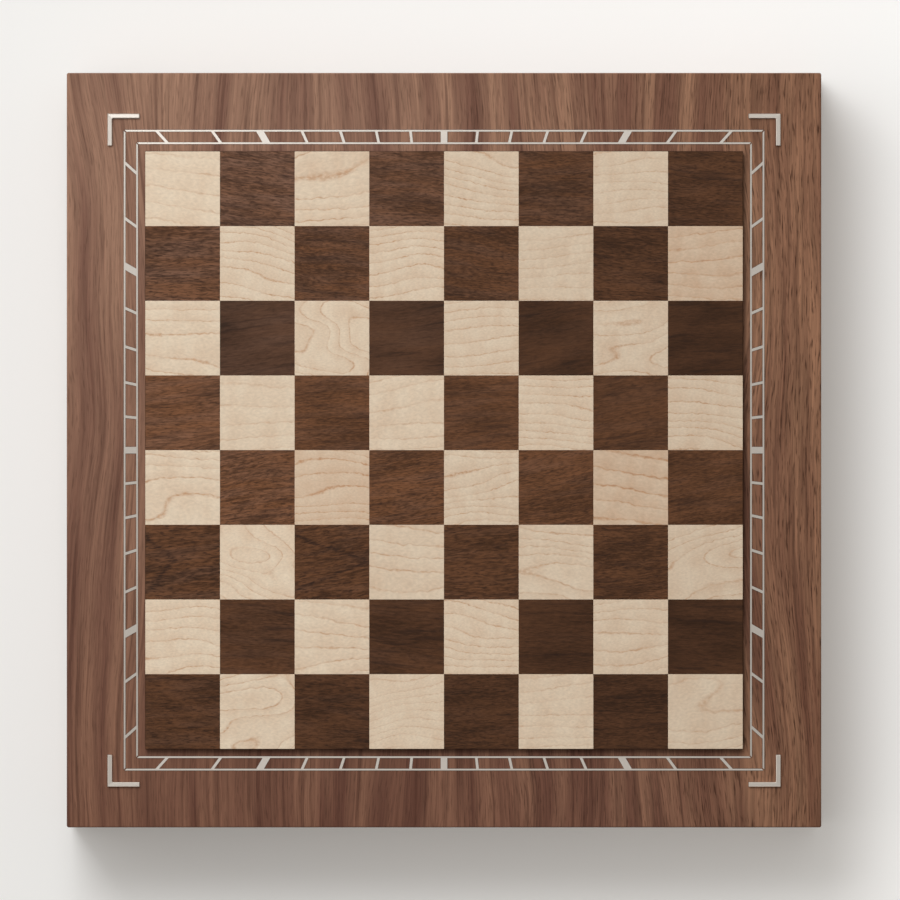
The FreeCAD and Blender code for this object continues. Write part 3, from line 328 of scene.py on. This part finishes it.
def maple_squares():
    """Figured maple veneer squares with a matt oil finish. Cream wood with thin, broken tan growth
    lines that wander, close into loops in some squares, and a fine fleck. Its tone gets darker to
    the right, partly as painted shade, and paler towards the near side as painted light."""

    def surface(tree):
        cut = add(tree, "Attribute", {}, attribute_name="cut").outputs["Vector"]
        tone = add(tree, "Attribute", {}, attribute_name="tone").outputs["Fac"]
        warmth = add(tree, "Attribute", {}, attribute_name="warmth").outputs["Fac"]
        figure = add(tree, "Attribute", {}, attribute_name="figure").outputs["Fac"]
        clearness = add(tree, "Attribute", {}, attribute_name="clearness").outputs["Fac"]
        wobbly = swayed(tree, cut, 4.0, 2.5, 2.4)
        layer = grain_layers(tree, wobbly, {
            "hill": (70.0, 30.0, 0.5),
            "fade": (24.0, 9.0, 1.0),
            "dots": (1.8, 1.2, 1.0),
            "mottle": (9.0, 16.0, 2.0),
            "fleck": (1.8, 0.9, 2.0),
        })
        # Growth lines are level lines, as on a map, of a slope across the grain with hills on it.
        # Where the hills are high the slope is gentle, and the lines close into loops.
        across = add(tree, "SeparateXYZ", {0: wobbly}).outputs["Y"]
        steepness = add(tree, "MapRange", {
            "Value": figure, "From Min": MAPLE_FIGURE[1], "From Max": LOOPED_FIGURE,
            "To Min": 1 / (7.0 * MM), "To Max": 1 / (26.0 * MM),
        })
        hills = add(tree, "Math", {0: layer["hill"], 1: figure}, operation="MULTIPLY")
        rise = add(tree, "Math", {0: across, 1: steepness, 2: hills}, operation="MULTIPLY_ADD")
        ring = add(tree, "Math", {0: rise}, operation="FRACT")
        from_line = add(tree, "Math", {0: rise, 1: 0.5}, operation="PINGPONG")
        line = add(tree, "MapRange", {
            "Value": from_line, "From Max": 0.085, "To Min": 0.64, "To Max": 0.0,
        }, interpolation_type="SMOOTHSTEP")
        fade = add(tree, "MapRange", {
            "Value": layer["fade"], "From Min": 0.34, "From Max": 0.6, "To Min": 0.35,
        })
        line = add(tree, "Math", {0: line, 1: fade}, operation="MULTIPLY")
        dots = add(tree, "MapRange", {
            "Value": layer["dots"], "From Min": 0.35, "From Max": 0.6, "To Min": 0.4,
        })
        line = add(tree, "Math", {0: line, 1: dots}, operation="MULTIPLY")
        late_wood = add(tree, "MapRange", {
            "Value": ring, "From Max": 0.7, "To Min": 0.14, "To Max": 0.0,
        })
        tan = add(tree, "Math", {0: line, 1: late_wood}, operation="ADD")
        mottle = add(tree, "MapRange", {
            "Value": layer["mottle"], "From Min": 0.3, "From Max": 0.7, "To Max": 0.2,
        })
        tan = add(tree, "Math", {0: tan, 1: clearness, 2: mottle}, operation="MULTIPLY_ADD")
        tan = add(tree, "Math", {0: tan, 1: warmth}, operation="ADD")
        colour = add(tree, "Mix", {
            "Factor": tan, "A": linear("#ddccb5"), "B": linear("#b98f6d"),
        }, data_type="RGBA")
        fleck = add(tree, "MapRange", {
            "Value": layer["fleck"], "From Min": 0.3, "From Max": 0.7,
            "To Min": 0.93, "To Max": 1.07,
        })
        colour = add(tree, "Mix", {
            "Factor": 1.0, "A": colour, "B": fleck,
        }, data_type="RGBA", blend_type="MULTIPLY")
        colour = add(tree, "Mix", {
            "Factor": 1.0, "A": colour, "B": tone,
        }, data_type="RGBA", blend_type="MULTIPLY")
        rough = add(tree, "MapRange", {"Value": layer["fleck"], "To Min": 0.46, "To Max": 0.6})
        return {"Base Color": colour, "Roughness": rough}

    return finish("figured_maple_veneer", surface, **{"Specular IOR Level": 0.12})


# Playing field

FILES = "abcdefgh"
RANKS = 8

# Each rank of walnut squares is cut from one strip: its tone at the first file and how much darker
# it gets with each file, its warmth there and how much warmer it gets, how open its grain is, and
# the tilt of its grain in degrees. The darkening and warming with each file come partly from the
# strip's tone and partly from painted sheen that fades from the left.
WALNUT_STRIPS = {
    8: (0.95, 0.07, 0.0, 0.15, 0.85, -3.0),
    7: (0.85, 0.07, 0.45, 0.1, 0.9, -2.0),
    6: (0.54, 0.04, 0.15, 0.15, 0.4, 6.0),
    5: (0.92, 0.06, 0.7, 0.05, 0.65, 5.0),
    4: (1.0, 0.05, 0.7, 0.05, 0.85, 9.0),
    3: (0.68, 0.02, 0.85, 0.05, 0.9, 5.0),
    2: (0.62, 0.06, 0.8, 0.05, 0.5, -2.0),
    1: (0.53, 0.04, 0.9, 0.05, 0.75, -1.0),
}

# How much the walnut's grain closes with each file.
WALNUT_CLOSING = 0.03

# Walnut squares with a pointed dark growth line: the place of its point along the square, in
# millimetres, and how slim it is. On the others the point lies far outside.
POINTED_WALNUT = {"a3": (2.0, 1.0), "c3": (28.0, 2.6)}
POINT_OUTSIDE = (900.0, 1.0)

# How much darker and warmer the maple gets with each file, and how much paler with each rank
# towards the near side. The darkening is partly painted shade. The paling is painted light against
# the window's fall towards the near side.
MAPLE_DARKENING = 0.012
MAPLE_WARMING = 0.012
MAPLE_PALING = 0.009

# Maple squares whose lines show less, and how clear those are beside the others.
FAINT_MAPLE = ("a8", "g8", "f7", "d5", "b5", "d1", "f1", "h1")
FAINT_CLEARNESS = 0.65
MAPLE_CLEARNESS = (0.8, 1.15)

# Maple squares whose lines close into loops, and how hilly their figure is beside the others.
LOOPED_MAPLE = ("b3", "h3", "b1", "c6", "g6", "f3")
LOOPED_FIGURE = 12.0
MAPLE_FIGURE = (2.0, 6.0)

# Maple squares cut from browner wood, and how much warmer that is.
BROWN_MAPLE = ("c4", "g4", "h7")
BROWN_WARMTH = 0.22

# Maple squares whose lines run clearly up or down to the right, in degrees.
MAPLE_TILTS = {"b7": -17.0, "c8": 9.0, "g2": 9.0, "g4": -13.0, "e2": -7.0, "a8": -8.0, "d1": 10.0}


def field_squares(name, odd, place_cut):
    """All squares of one wood, each a veneer tile with eased top edges and its own cut of wood. The
    square in the near left corner is even, and its neighbours are odd."""
    low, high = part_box(name)
    side = (high.x - low.x) / len(FILES)
    corner_round = 0.5 * MM
    eased = 0.1 * MM
    tiles = bmesh.new()
    for column in range(len(FILES)):
        for row in range(RANKS):
            if (column + row) % 2 != odd:
                continue
            middle = Vector((low.x + (column + 0.5) * side, low.y + (row + 0.5) * side, 0.0))
            middle.z = (low.z + high.z) / 2
            shape = Matrix.Translation(middle) @ Matrix.Diagonal((side, side, high.z - low.z, 1.0))
            tile = bmesh.new()
            bmesh.ops.create_cube(tile, size=1.0, matrix=shape)
            at_field_corner = [
                edge for edge in tile.edges
                if all(
                    abs(abs(v.co.x) - high.x) < CLOSE and abs(abs(v.co.y) - high.y) < CLOSE
                    for v in edge.verts
                )
            ]
            if at_field_corner:
                bmesh.ops.bevel(
                    tile, geom=at_field_corner, offset=corner_round, segments=6,
                    affect="EDGES", profile=0.5, material=-1,
                )
            rim = [e for e in tile.edges if all(v.co.z > high.z - CLOSE for v in e.verts)]
            bmesh.ops.bevel(
                tile, geom=rim, offset=eased, segments=2,
                affect="EDGES", profile=0.5, material=-1,
            )
            part = bpy.data.meshes.new("tile")
            tile.to_mesh(part)
            tile.free()
            tiles.from_mesh(part)
            bpy.data.meshes.remove(part)
    mesh = bpy.data.meshes.new(name + "_veneer")
    tiles.to_mesh(mesh)
    tiles.free()
    cuts = {}
    for column in range(len(FILES)):
        for row in range(RANKS):
            cuts[column, row] = place_cut(column, row + 1)
    mesh.attributes.new("cut", "FLOAT_VECTOR", "CORNER")
    mesh.attributes.new("spot", "FLOAT_VECTOR", "CORNER")
    for attribute in cuts[0, 0]["values"]:
        mesh.attributes.new(attribute, "FLOAT", "CORNER")
    cut = mesh.attributes["cut"]
    spot = mesh.attributes["spot"]
    just_inside = 0.05 * MM
    for face in mesh.polygons:
        inside = face.center - face.normal * just_inside
        column = math.floor((inside.x - low.x) / side)
        row = math.floor((inside.y - low.y) / side)
        middle = Vector((low.x + (column + 0.5) * side, low.y + (row + 0.5) * side, high.z))
        wood = cuts[column, row]
        for corner in face.loop_indices:
            place = mesh.vertices[mesh.loops[corner].vertex_index].co - middle
            spot.data[corner].vector = place
            cut.data[corner].vector = wood["turn"] @ place * wood["closeness"] + wood["offset"]
            for attribute, value in wood["values"].items():
                mesh.attributes[attribute].data[corner].value = value
    piece = bpy.data.objects.new(name + "_veneer", mesh)
    bpy.context.scene.collection.objects.link(piece)
    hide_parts(name)
    return piece


def walnut_cut(log):
    """Gives each walnut square its own cut of its rank's strip."""

    def cut(file, rank):
        tone, darkening, warmth, warming, open_grain, tilt = WALNUT_STRIPS[rank]
        point_mm, slimness = POINTED_WALNUT.get(FILES[file] + str(rank), POINT_OUTSIDE)
        turn = Matrix.Rotation(math.radians(-tilt + log.uniform(-3.0, 3.0)), 3, "Z")
        return {
            "turn": turn,
            "closeness": log.uniform(0.85, 1.15),
            "offset": Vector([log.uniform(-1.0, 1.0) for _ in range(3)]),
            "values": {
                # Darker and warmer with each file: partly the strip's tone, and partly painted
                # sheen fading from the left.
                "tone": tone * (1.0 - darkening * file) * log.uniform(0.96, 1.04),
                "warmth": warmth + warming * file,
                "open_grain": open_grain * (1.0 - WALNUT_CLOSING * file),
                "point": point_mm * MM,
                "slimness": slimness,
            },
        }

    return cut


def maple_cut(log):
    """Gives each maple square a cut of its own."""

    def cut(file, rank):
        square = FILES[file] + str(rank)
        looped = square in LOOPED_MAPLE
        faint = square in FAINT_MAPLE
        browner = BROWN_WARMTH if square in BROWN_MAPLE else 0.0
        tilt = MAPLE_TILTS.get(square, 0.0)
        turn = Matrix.Rotation(math.radians(-tilt + log.uniform(-5.0, 5.0)), 3, "Z")
        # Darker to the right, partly as painted shade, and paler towards the near side as painted
        # light.
        tone = (1.0 - MAPLE_DARKENING * file) * (1.0 + MAPLE_PALING * (RANKS - rank))
        return {
            "turn": turn,
            "closeness": log.uniform(0.7, 1.25),
            "offset": Vector([log.uniform(-1.0, 1.0) for _ in range(3)]),
            "values": {
                "tone": tone * log.uniform(0.98, 1.02),
                "warmth": MAPLE_WARMING * file + browner,
                "figure": LOOPED_FIGURE if looped else log.uniform(*MAPLE_FIGURE),
                "clearness": FAINT_CLEARNESS if faint else log.uniform(*MAPLE_CLEARNESS),
            },
        }

    return cut


walnut_log = random.Random(21)
dark_squares = field_squares("dark_squares", odd=False, place_cut=walnut_cut(walnut_log))
dark_squares.data.materials.append(walnut_squares())
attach(dark_squares, "case")

maple_log = random.Random(5)
light_squares = field_squares("light_squares", odd=True, place_cut=maple_cut(maple_log))
light_squares.data.materials.append(maple_squares())
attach(light_squares, "case")


# Finishes of the other parts

def mottled(name, base, other, mark_mm, rough_low, rough_high, dent_mm, **plain):
    """An even material with marks of a given size in its colour, its gloss and its surface."""

    def surface(tree):
        place = add(tree, "TexCoord", {}).outputs["Object"]
        mark = add(tree, "TexNoise", {"Vector": place, "Scale": 1 / (mark_mm * MM), "Detail": 3.0})
        spread = add(tree, "MapRange", {"Value": mark, "From Min": 0.3, "From Max": 0.7})
        colour = add(tree, "Mix", {
            "Factor": spread, "A": linear(base), "B": linear(other),
        }, data_type="RGBA")
        rough = add(tree, "MapRange", {"Value": spread, "To Min": rough_low, "To Max": rough_high})
        dent = add(tree, "Bump", {"Height": mark, "Strength": 0.4, "Distance": dent_mm * MM})
        return {"Base Color": colour, "Roughness": rough, "Normal": dent}

    return finish(name, surface, **plain)


def brushed_silver(name):
    """Satin aluminium brushed along the side of the board that it lies on. The lengths across the
    board catch more of the window than those along it."""

    def surface(tree):
        place = add(tree, "TexCoord", {}).outputs["Object"]
        mark = add(tree, "TexNoise", {"Vector": place, "Scale": 1 / (0.8 * MM), "Detail": 2.0})
        colour = add(tree, "Mix", {
            "Factor": mark, "A": linear("#e7dfd6"), "B": linear("#efe8e0"),
        }, data_type="RGBA")
        rough = add(tree, "MapRange", {"Value": mark, "To Min": 0.28, "To Max": 0.34})
        far = add(tree, "SeparateXYZ", {
            0: add(tree, "VectorMath", {0: place}, operation="ABSOLUTE"),
        })
        on_left_or_right = add(tree, "Math", {
            0: far.outputs["X"], 1: far.outputs["Y"],
        }, operation="GREATER_THAN")
        brushing = add(tree, "Mix", {
            "Factor": on_left_or_right, "A": (1.0, 0.04, 0.02), "B": (0.04, 1.0, 0.02),
        }, data_type="VECTOR")
        face = add(tree, "NewGeometry", {}).outputs["Normal"]
        across_brushing = add(tree, "VectorMath", {
            0: face, 1: brushing,
        }, operation="CROSS_PRODUCT")
        return {"Base Color": colour, "Roughness": rough, "Tangent": across_brushing}

    return finish(name, surface, **{"Metallic": 1.0, "Anisotropic": 0.5})


METAL = {"Metallic": 1.0}

# Each finish has its two colours, the size of its marks in millimetres, its least and greatest
# roughness, and the depth of its marks in millimetres.
SLOT_FINISHES = {
    # Pressed fibres soaked with dark stain and painted darker still as shade: almost black, dull
    # and faintly speckled.
    "board_core": mottled("stained_and_shaded_fibreboard", "#2b1c15", "#21140f", 0.8, 0.55, 0.7, 0.03),
    # Sprayed paint over fibres: even black with a slight orange peel.
    "base_board": mottled("black_painted_fibreboard", "#1b1a19", "#232221", 0.9, 0.5, 0.65, 0.05),
    "silver": brushed_silver("brushed_anodised_aluminium"),
    # Ground rods: bright, with long clear reflections.
    "steel": mottled("ground_steel", "#b8babb", "#a6a8aa", 0.6, 0.2, 0.3, 0.005, **METAL),
    # Plated screws: black with a dull glint.
    "black_zinc": mottled("black_zinc_plate", "#1c1c1d", "#29292a", 0.4, 0.35, 0.5, 0.01, **METAL),
    # Moulded feet: black and quite dull.
    "rubber": mottled("moulded_rubber", "#141414", "#1d1d1c", 0.5, 0.75, 0.9, 0.03),
    # Spark-textured mouldings: black with a soft fine grain.
    "mould": mottled("black_moulded_abs", "#1b1b1d", "#222224", 0.5, 0.45, 0.6, 0.02),
    # Turned bushes: creamy and slightly waxy.
    "bush": mottled("natural_acetal", "#d0c49a", "#c4b78c", 1.2, 0.35, 0.5, 0.01),
    # Turned pulleys: pale grey with a fine sheen.
    "alloy": mottled("turned_alloy", "#bfc1c3", "#adb0b2", 0.4, 0.25, 0.38, 0.008, **METAL),
    # Lacquer over glass cloth: deep green and glossy, with the copper just showing through.
    "circuit": mottled("green_solder_resist", "#0f3d22", "#15502e", 2.2, 0.25, 0.4, 0.03),
    # Moulded chips: black with a matt grain.
    "chip": mottled("black_epoxy", "#161617", "#202021", 0.4, 0.5, 0.65, 0.02),
    # Turned standoffs: yellow and bright.
    "brass": mottled("turned_brass", "#c9a350", "#b58f40", 0.5, 0.22, 0.35, 0.008, **METAL),
    # Wound wire: warm brown with a glint on each turn.
    "copper": mottled("enamelled_copper", "#b06a3c", "#8f4f2a", 0.5, 0.25, 0.4, 0.05, **METAL),
    # Shrunk plastic film: even blue and glossy.
    "cell_wrap": mottled("shrink_sleeve", "#1b4a8c", "#173f79", 3.0, 0.25, 0.4, 0.02),
    # Pressed pulp: dark grey, rough and quite dull.
    "paper": mottled("pressed_paper", "#29292a", "#343435", 0.7, 0.7, 0.85, 0.06),
    # Powder-coated cans: black with a soft gloss.
    "motor_case": mottled("black_coated_steel", "#202022", "#2a2a2c", 0.5, 0.4, 0.55, 0.02),
    # Drawn and plated shell: pale and bright.
    "plated": mottled("tin_plate", "#c9c9c6", "#b9b9b6", 0.8, 0.18, 0.3, 0.005, **METAL),
}
# Turned on a lathe and anodised: pale, with an even satin sheen.
TURNED_SILVER = mottled(
    "turned_anodised_aluminium", "#e2ddd6", "#d2cdc6", 0.4, 0.24, 0.34, 0.006, **METAL
)
walnut_panel = walnut_case("panel_walnut_veneer", 90, 0)
walnut_lengthwise = walnut_case("side_walnut_veneer", 90, 90)
walnut_crosswise = walnut_case("front_walnut_veneer", 0, 0)

for row in frame["record"]["subparts"]:
    node = frame["nodes"][row["node"]]
    node.data.materials.clear()
    if row["material_slot"] == "walnut":
        if row["node"] == "top_panel":
            node.data.materials.append(walnut_panel)
        elif row["node"] in ("front_rail", "back_rail"):
            node.data.materials.append(walnut_crosswise)
        else:
            node.data.materials.append(walnut_lengthwise)
    elif row["material_slot"] in SLOT_FINISHES:
        node.data.materials.append(SLOT_FINISHES[row["material_slot"]])


# Button and socket in the back wall

def keep_piece(shape, name, node, body, sharp_degrees, finishes):
    """Makes an object of a finished shape that stands for a node and rides on its body."""
    mesh = bpy.data.meshes.new(name)
    shape.to_mesh(mesh)
    shape.free()
    for face in mesh.polygons:
        face.use_smooth = True
    mesh.set_sharp_from_angle(angle=math.radians(sharp_degrees))
    for surface in finishes:
        mesh.materials.append(surface)
    piece = bpy.data.objects.new(name, mesh)
    bpy.context.scene.collection.objects.link(piece)
    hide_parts(node)
    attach(piece, body)


def turned_button():
    """The power button: a flange behind the wall, a stem, a rounded rim and a fingertip dish."""
    low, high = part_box("power_button")
    middle = (low + high) / 2
    flange_radius = (high.x - low.x) / 2
    flange_reach = 1.5 * MM
    flange = 1.1 * MM
    stem_radius = flange_radius - flange_reach
    rim_width = 1.1 * MM
    rim_round = 0.6 * MM
    dish_radius = stem_radius - rim_width
    dish_depth = 0.45 * MM
    dish_steps = 8
    outline = [(0.0, low.y), (flange_radius, low.y), (flange_radius, low.y + flange)]
    outline += [(stem_radius, low.y + flange), (stem_radius, high.y)]
    for step in range(dish_steps + 1):
        out = 1.0 - step / dish_steps
        outline.append((dish_radius * out, high.y - dish_depth * (1.0 - out ** 2)))
    shape = bmesh.new()
    points = [shape.verts.new((middle.x + out, along, middle.z)) for out, along in outline]
    runs = [shape.edges.new(pair) for pair in zip(points, points[1:])]
    bmesh.ops.spin(
        shape, geom=points + runs, cent=middle, axis=(0.0, 1.0, 0.0),
        angle=2 * math.pi, steps=64, use_merge=True,
    )
    bmesh.ops.remove_doubles(shape, verts=shape.verts, dist=CLOSE)
    bmesh.ops.recalc_face_normals(shape, faces=shape.faces)
    rim = []
    for edge in shape.edges:
        reach = [math.hypot(v.co.x - middle.x, v.co.z - middle.z) for v in edge.verts]
        at_rim = all(abs(r - stem_radius) < CLOSE for r in reach)
        if at_rim and all(v.co.y > high.y - CLOSE for v in edge.verts):
            rim.append(edge)
    bmesh.ops.bevel(
        shape, geom=rim, offset=rim_round, segments=5, affect="EDGES", profile=0.5, material=-1,
    )
    keep_piece(
        shape, "turned_button", node="power_button", body="power_button",
        sharp_degrees=35, finishes=[TURNED_SILVER],
    )


def plated_socket():
    """The charging socket: a drawn shell with round ends and the tongue inside it."""
    low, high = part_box("usb_socket")
    middle = (low + high) / 2
    size = high - low
    wall = 0.35 * MM
    end_round = 1.3 * MM
    tongue_size = Vector((6.7 * MM, size.y - 3 * wall, 0.7 * MM))
    tongue_round = 0.12 * MM
    shape = bmesh.new()
    box = Matrix.Translation(middle) @ Matrix.Diagonal((*size, 1.0))
    bmesh.ops.create_cube(shape, size=1.0, matrix=box)
    lengthwise = [e for e in shape.edges if abs(e.verts[0].co.y - e.verts[1].co.y) > size.y / 2]
    bmesh.ops.bevel(
        shape, geom=lengthwise, offset=end_round, segments=8,
        affect="EDGES", profile=0.5, material=-1,
    )
    mouth = [f for f in shape.faces if f.normal.y > 0.9]
    bmesh.ops.inset_region(shape, faces=mouth, thickness=wall, use_even_offset=True)
    deeper = bmesh.ops.extrude_face_region(shape, geom=mouth)["geom"]
    bmesh.ops.delete(shape, geom=mouth, context="FACES_ONLY")
    bmesh.ops.translate(
        shape, verts=[v for v in deeper if isinstance(v, bmesh.types.BMVert)],
        vec=(0.0, 2 * wall - size.y, 0.0),
    )
    back = low.y + 2 * wall
    tongue_middle = Vector((middle.x, back + tongue_size.y / 2 - wall / 2, middle.z))
    tongue = Matrix.Translation(tongue_middle) @ Matrix.Diagonal((*tongue_size, 1.0))
    made = bmesh.ops.create_cube(shape, size=1.0, matrix=tongue)["verts"]
    tongue_edges = list({edge for v in made for edge in v.link_edges})
    for face in {face for v in made for face in v.link_faces}:
        face.material_index = 1
    bmesh.ops.bevel(
        shape, geom=tongue_edges, offset=tongue_round, segments=2,
        affect="EDGES", profile=0.5, material=-1,
    )
    keep_piece(
        shape, "plated_socket", node="usb_socket", body="case",
        sharp_degrees=40, finishes=[SLOT_FINISHES["plated"], SLOT_FINISHES["mould"]],
    )


turned_button()
plated_socket()


# Floor, light and camera

def pale_floor():
    """A matt painted table top: even, pale and dull, whiter to the right. It shows a little paler
    than it is lit, so that the shadow stays soft, and more so far off, where it meets the room."""

    def surface(tree):
        place = add(tree, "TexCoord", {}).outputs["Object"]
        side = add(tree, "SeparateXYZ", {0: place})
        rightward = add(tree, "MapRange", {
            "Value": side.outputs["X"], "From Min": -0.3, "From Max": 0.3,
        })
        nearer = add(tree, "MapRange", {
            "Value": side.outputs["Y"], "From Min": 0.3, "From Max": -0.3,
        })
        far_edge = add(tree, "Mix", {
            "Factor": rightward, "A": linear("#d2d3d3"), "B": linear("#e3e4e5"),
        }, data_type="RGBA")
        near_edge = add(tree, "Mix", {
            "Factor": rightward, "A": linear("#dcdddd"), "B": linear("#eaebec"),
        }, data_type="RGBA")
        colour = add(tree, "Mix", {
            "Factor": nearer, "A": far_edge, "B": near_edge,
        }, data_type="RGBA")
        ray = add(tree, "LightPath", {})
        seen = add(tree, "Math", {
            0: ray.outputs["Is Camera Ray"], 1: ray.outputs["Is Glossy Ray"],
        }, operation="MAXIMUM")
        seen = add(tree, "Math", {
            0: seen, 1: ray.outputs["Is Transmission Ray"],
        }, operation="MAXIMUM")
        paler = add(tree, "MapRange", {"Value": rightward, "To Min": 0.18, "To Max": 0.25})
        distance = add(tree, "VectorMath", {0: place}, operation="LENGTH").outputs["Value"]
        far_off = add(tree, "MapRange", {
            "Value": distance, "From Min": 0.7, "From Max": 3.5, "To Max": 0.4,
        })
        paler = add(tree, "Math", {0: paler, 1: far_off}, operation="ADD")
        paler = add(tree, "Math", {0: seen, 1: paler}, operation="MULTIPLY")
        return {"Base Color": colour, "Emission Strength": paler}

    plain = {"Roughness": 0.9, "Specular IOR Level": 0.1, "Emission Color": linear("#fff9f0")}
    return finish("pale_table", surface, **plain)


table = bmesh.new()
table_reach = 6.0
bmesh.ops.create_grid(table, x_segments=1, y_segments=1, size=table_reach)
table_mesh = bpy.data.meshes.new("table")
table.to_mesh(table_mesh)
table.free()
floor = bpy.data.objects.new("table", table_mesh)
bpy.context.scene.collection.objects.link(floor)
floor.data.materials.append(pale_floor())


def soft_lamp(name, place, aim, width, level):
    """A square soft lamp whose face has the given brightness, where 1 is white."""
    lamp = bpy.data.lights.new(name, "AREA")
    lamp.shape = "SQUARE"
    lamp.size = width
    lamp.energy = level * math.pi * width ** 2
    holder = bpy.data.objects.new(name, lamp)
    bpy.context.scene.collection.objects.link(holder)
    away = Vector(place) - Vector(aim)
    turn = away.to_track_quat("Z", "Y").to_matrix().to_4x4()
    holder.matrix_world = Matrix.Translation(place) @ turn
    return holder


board_middle = Vector((0.0, 0.0, cad_box[1].z))
window_place = board_middle + Vector((-0.38, 0.79, 1.0)) * 1.8
soft_lamp("window", window_place, board_middle, width=1.44, level=6.1)
soft_lamp("side_panel", (-1.6, 0.3, 1.3), board_middle, width=1.6, level=0.75)

# A small pale card over the far left corner, which shows in the metal alone.
far_left = Vector((cad_box[0].x, cad_box[1].y, cad_box[1].z))
card_place = far_left + Vector((0.0, 0.0, 0.9))
card = soft_lamp("pale_card", card_place, far_left, width=0.16, level=0.75)
card.visible_diffuse = False
card.visible_camera = False

# The room is brighter towards the window. What shows of it is palest all round at eye level, and
# overhead it is brighter on the left.
world = bpy.data.worlds.new("pale_room")
world.use_nodes = True
room = world.node_tree
room.nodes.clear()
look = add(room, "TexCoord", {}).outputs["Generated"]
left = add(room, "VectorMath", {0: look, 1: (-0.85, 0.5, 0.0)}, operation="DOT_PRODUCT")
left = add(room, "MapRange", {
    "Value": left.outputs["Value"], "From Min": -0.1, "From Max": 0.1,
    "To Min": 0.38, "To Max": 0.54,
})
upward = add(room, "SeparateXYZ", {0: look}).outputs["Z"]
upward = add(room, "MapRange", {"Value": upward, "From Min": 0.1, "From Max": 0.8})
shown = add(room, "Mix", {"Factor": upward, "A": 0.95, "B": left}, data_type="FLOAT")
near_window = add(room, "VectorMath", {0: look, 1: (-0.6, 0.8, 0.0)}, operation="DOT_PRODUCT")
near_window = add(room, "MapRange", {
    "Value": near_window.outputs["Value"], "From Min": -0.8, "From Max": 0.8,
    "To Min": 0.05, "To Max": 0.75,
})
ray = add(room, "LightPath", {})
seen = add(room, "Math", {
    0: ray.outputs["Is Camera Ray"], 1: ray.outputs["Is Glossy Ray"],
}, operation="MAXIMUM")
seen = add(room, "Math", {0: seen, 1: ray.outputs["Is Transmission Ray"]}, operation="MAXIMUM")
level = add(room, "Mix", {"Factor": seen, "A": near_window, "B": shown}, data_type="FLOAT")
room_light = add(room, "Background", {"Color": linear("#fdf9f4"), "Strength": level})
add(room, "OutputWorld", {"Surface": room_light})
bpy.context.scene.world = world

# The camera looks straight down on the panel from far off. One pixel of the picture shows 0.603 mm
# of the panel, and the case lies a little to the left of the picture's middle.
picture_pixels = 900
pixel = 0.603 * MM
camera_height = 6.0
camera_right = 3.6 * MM
camera_back = 0.1 * MM
panel_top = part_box("top_panel")[1].z
lens = bpy.data.cameras.new("overhead")
lens.sensor_fit = "HORIZONTAL"
lens.sensor_width = 36.0
lens.lens = lens.sensor_width * camera_height / (picture_pixels * pixel)
lens.clip_end = 50.0
camera = bpy.data.objects.new("overhead", lens)
camera.location = (camera_right, camera_back, panel_top + camera_height)
bpy.context.scene.collection.objects.link(camera)
bpy.context.scene.camera = camera

bpy.context.scene.view_settings.view_transform = "Standard"
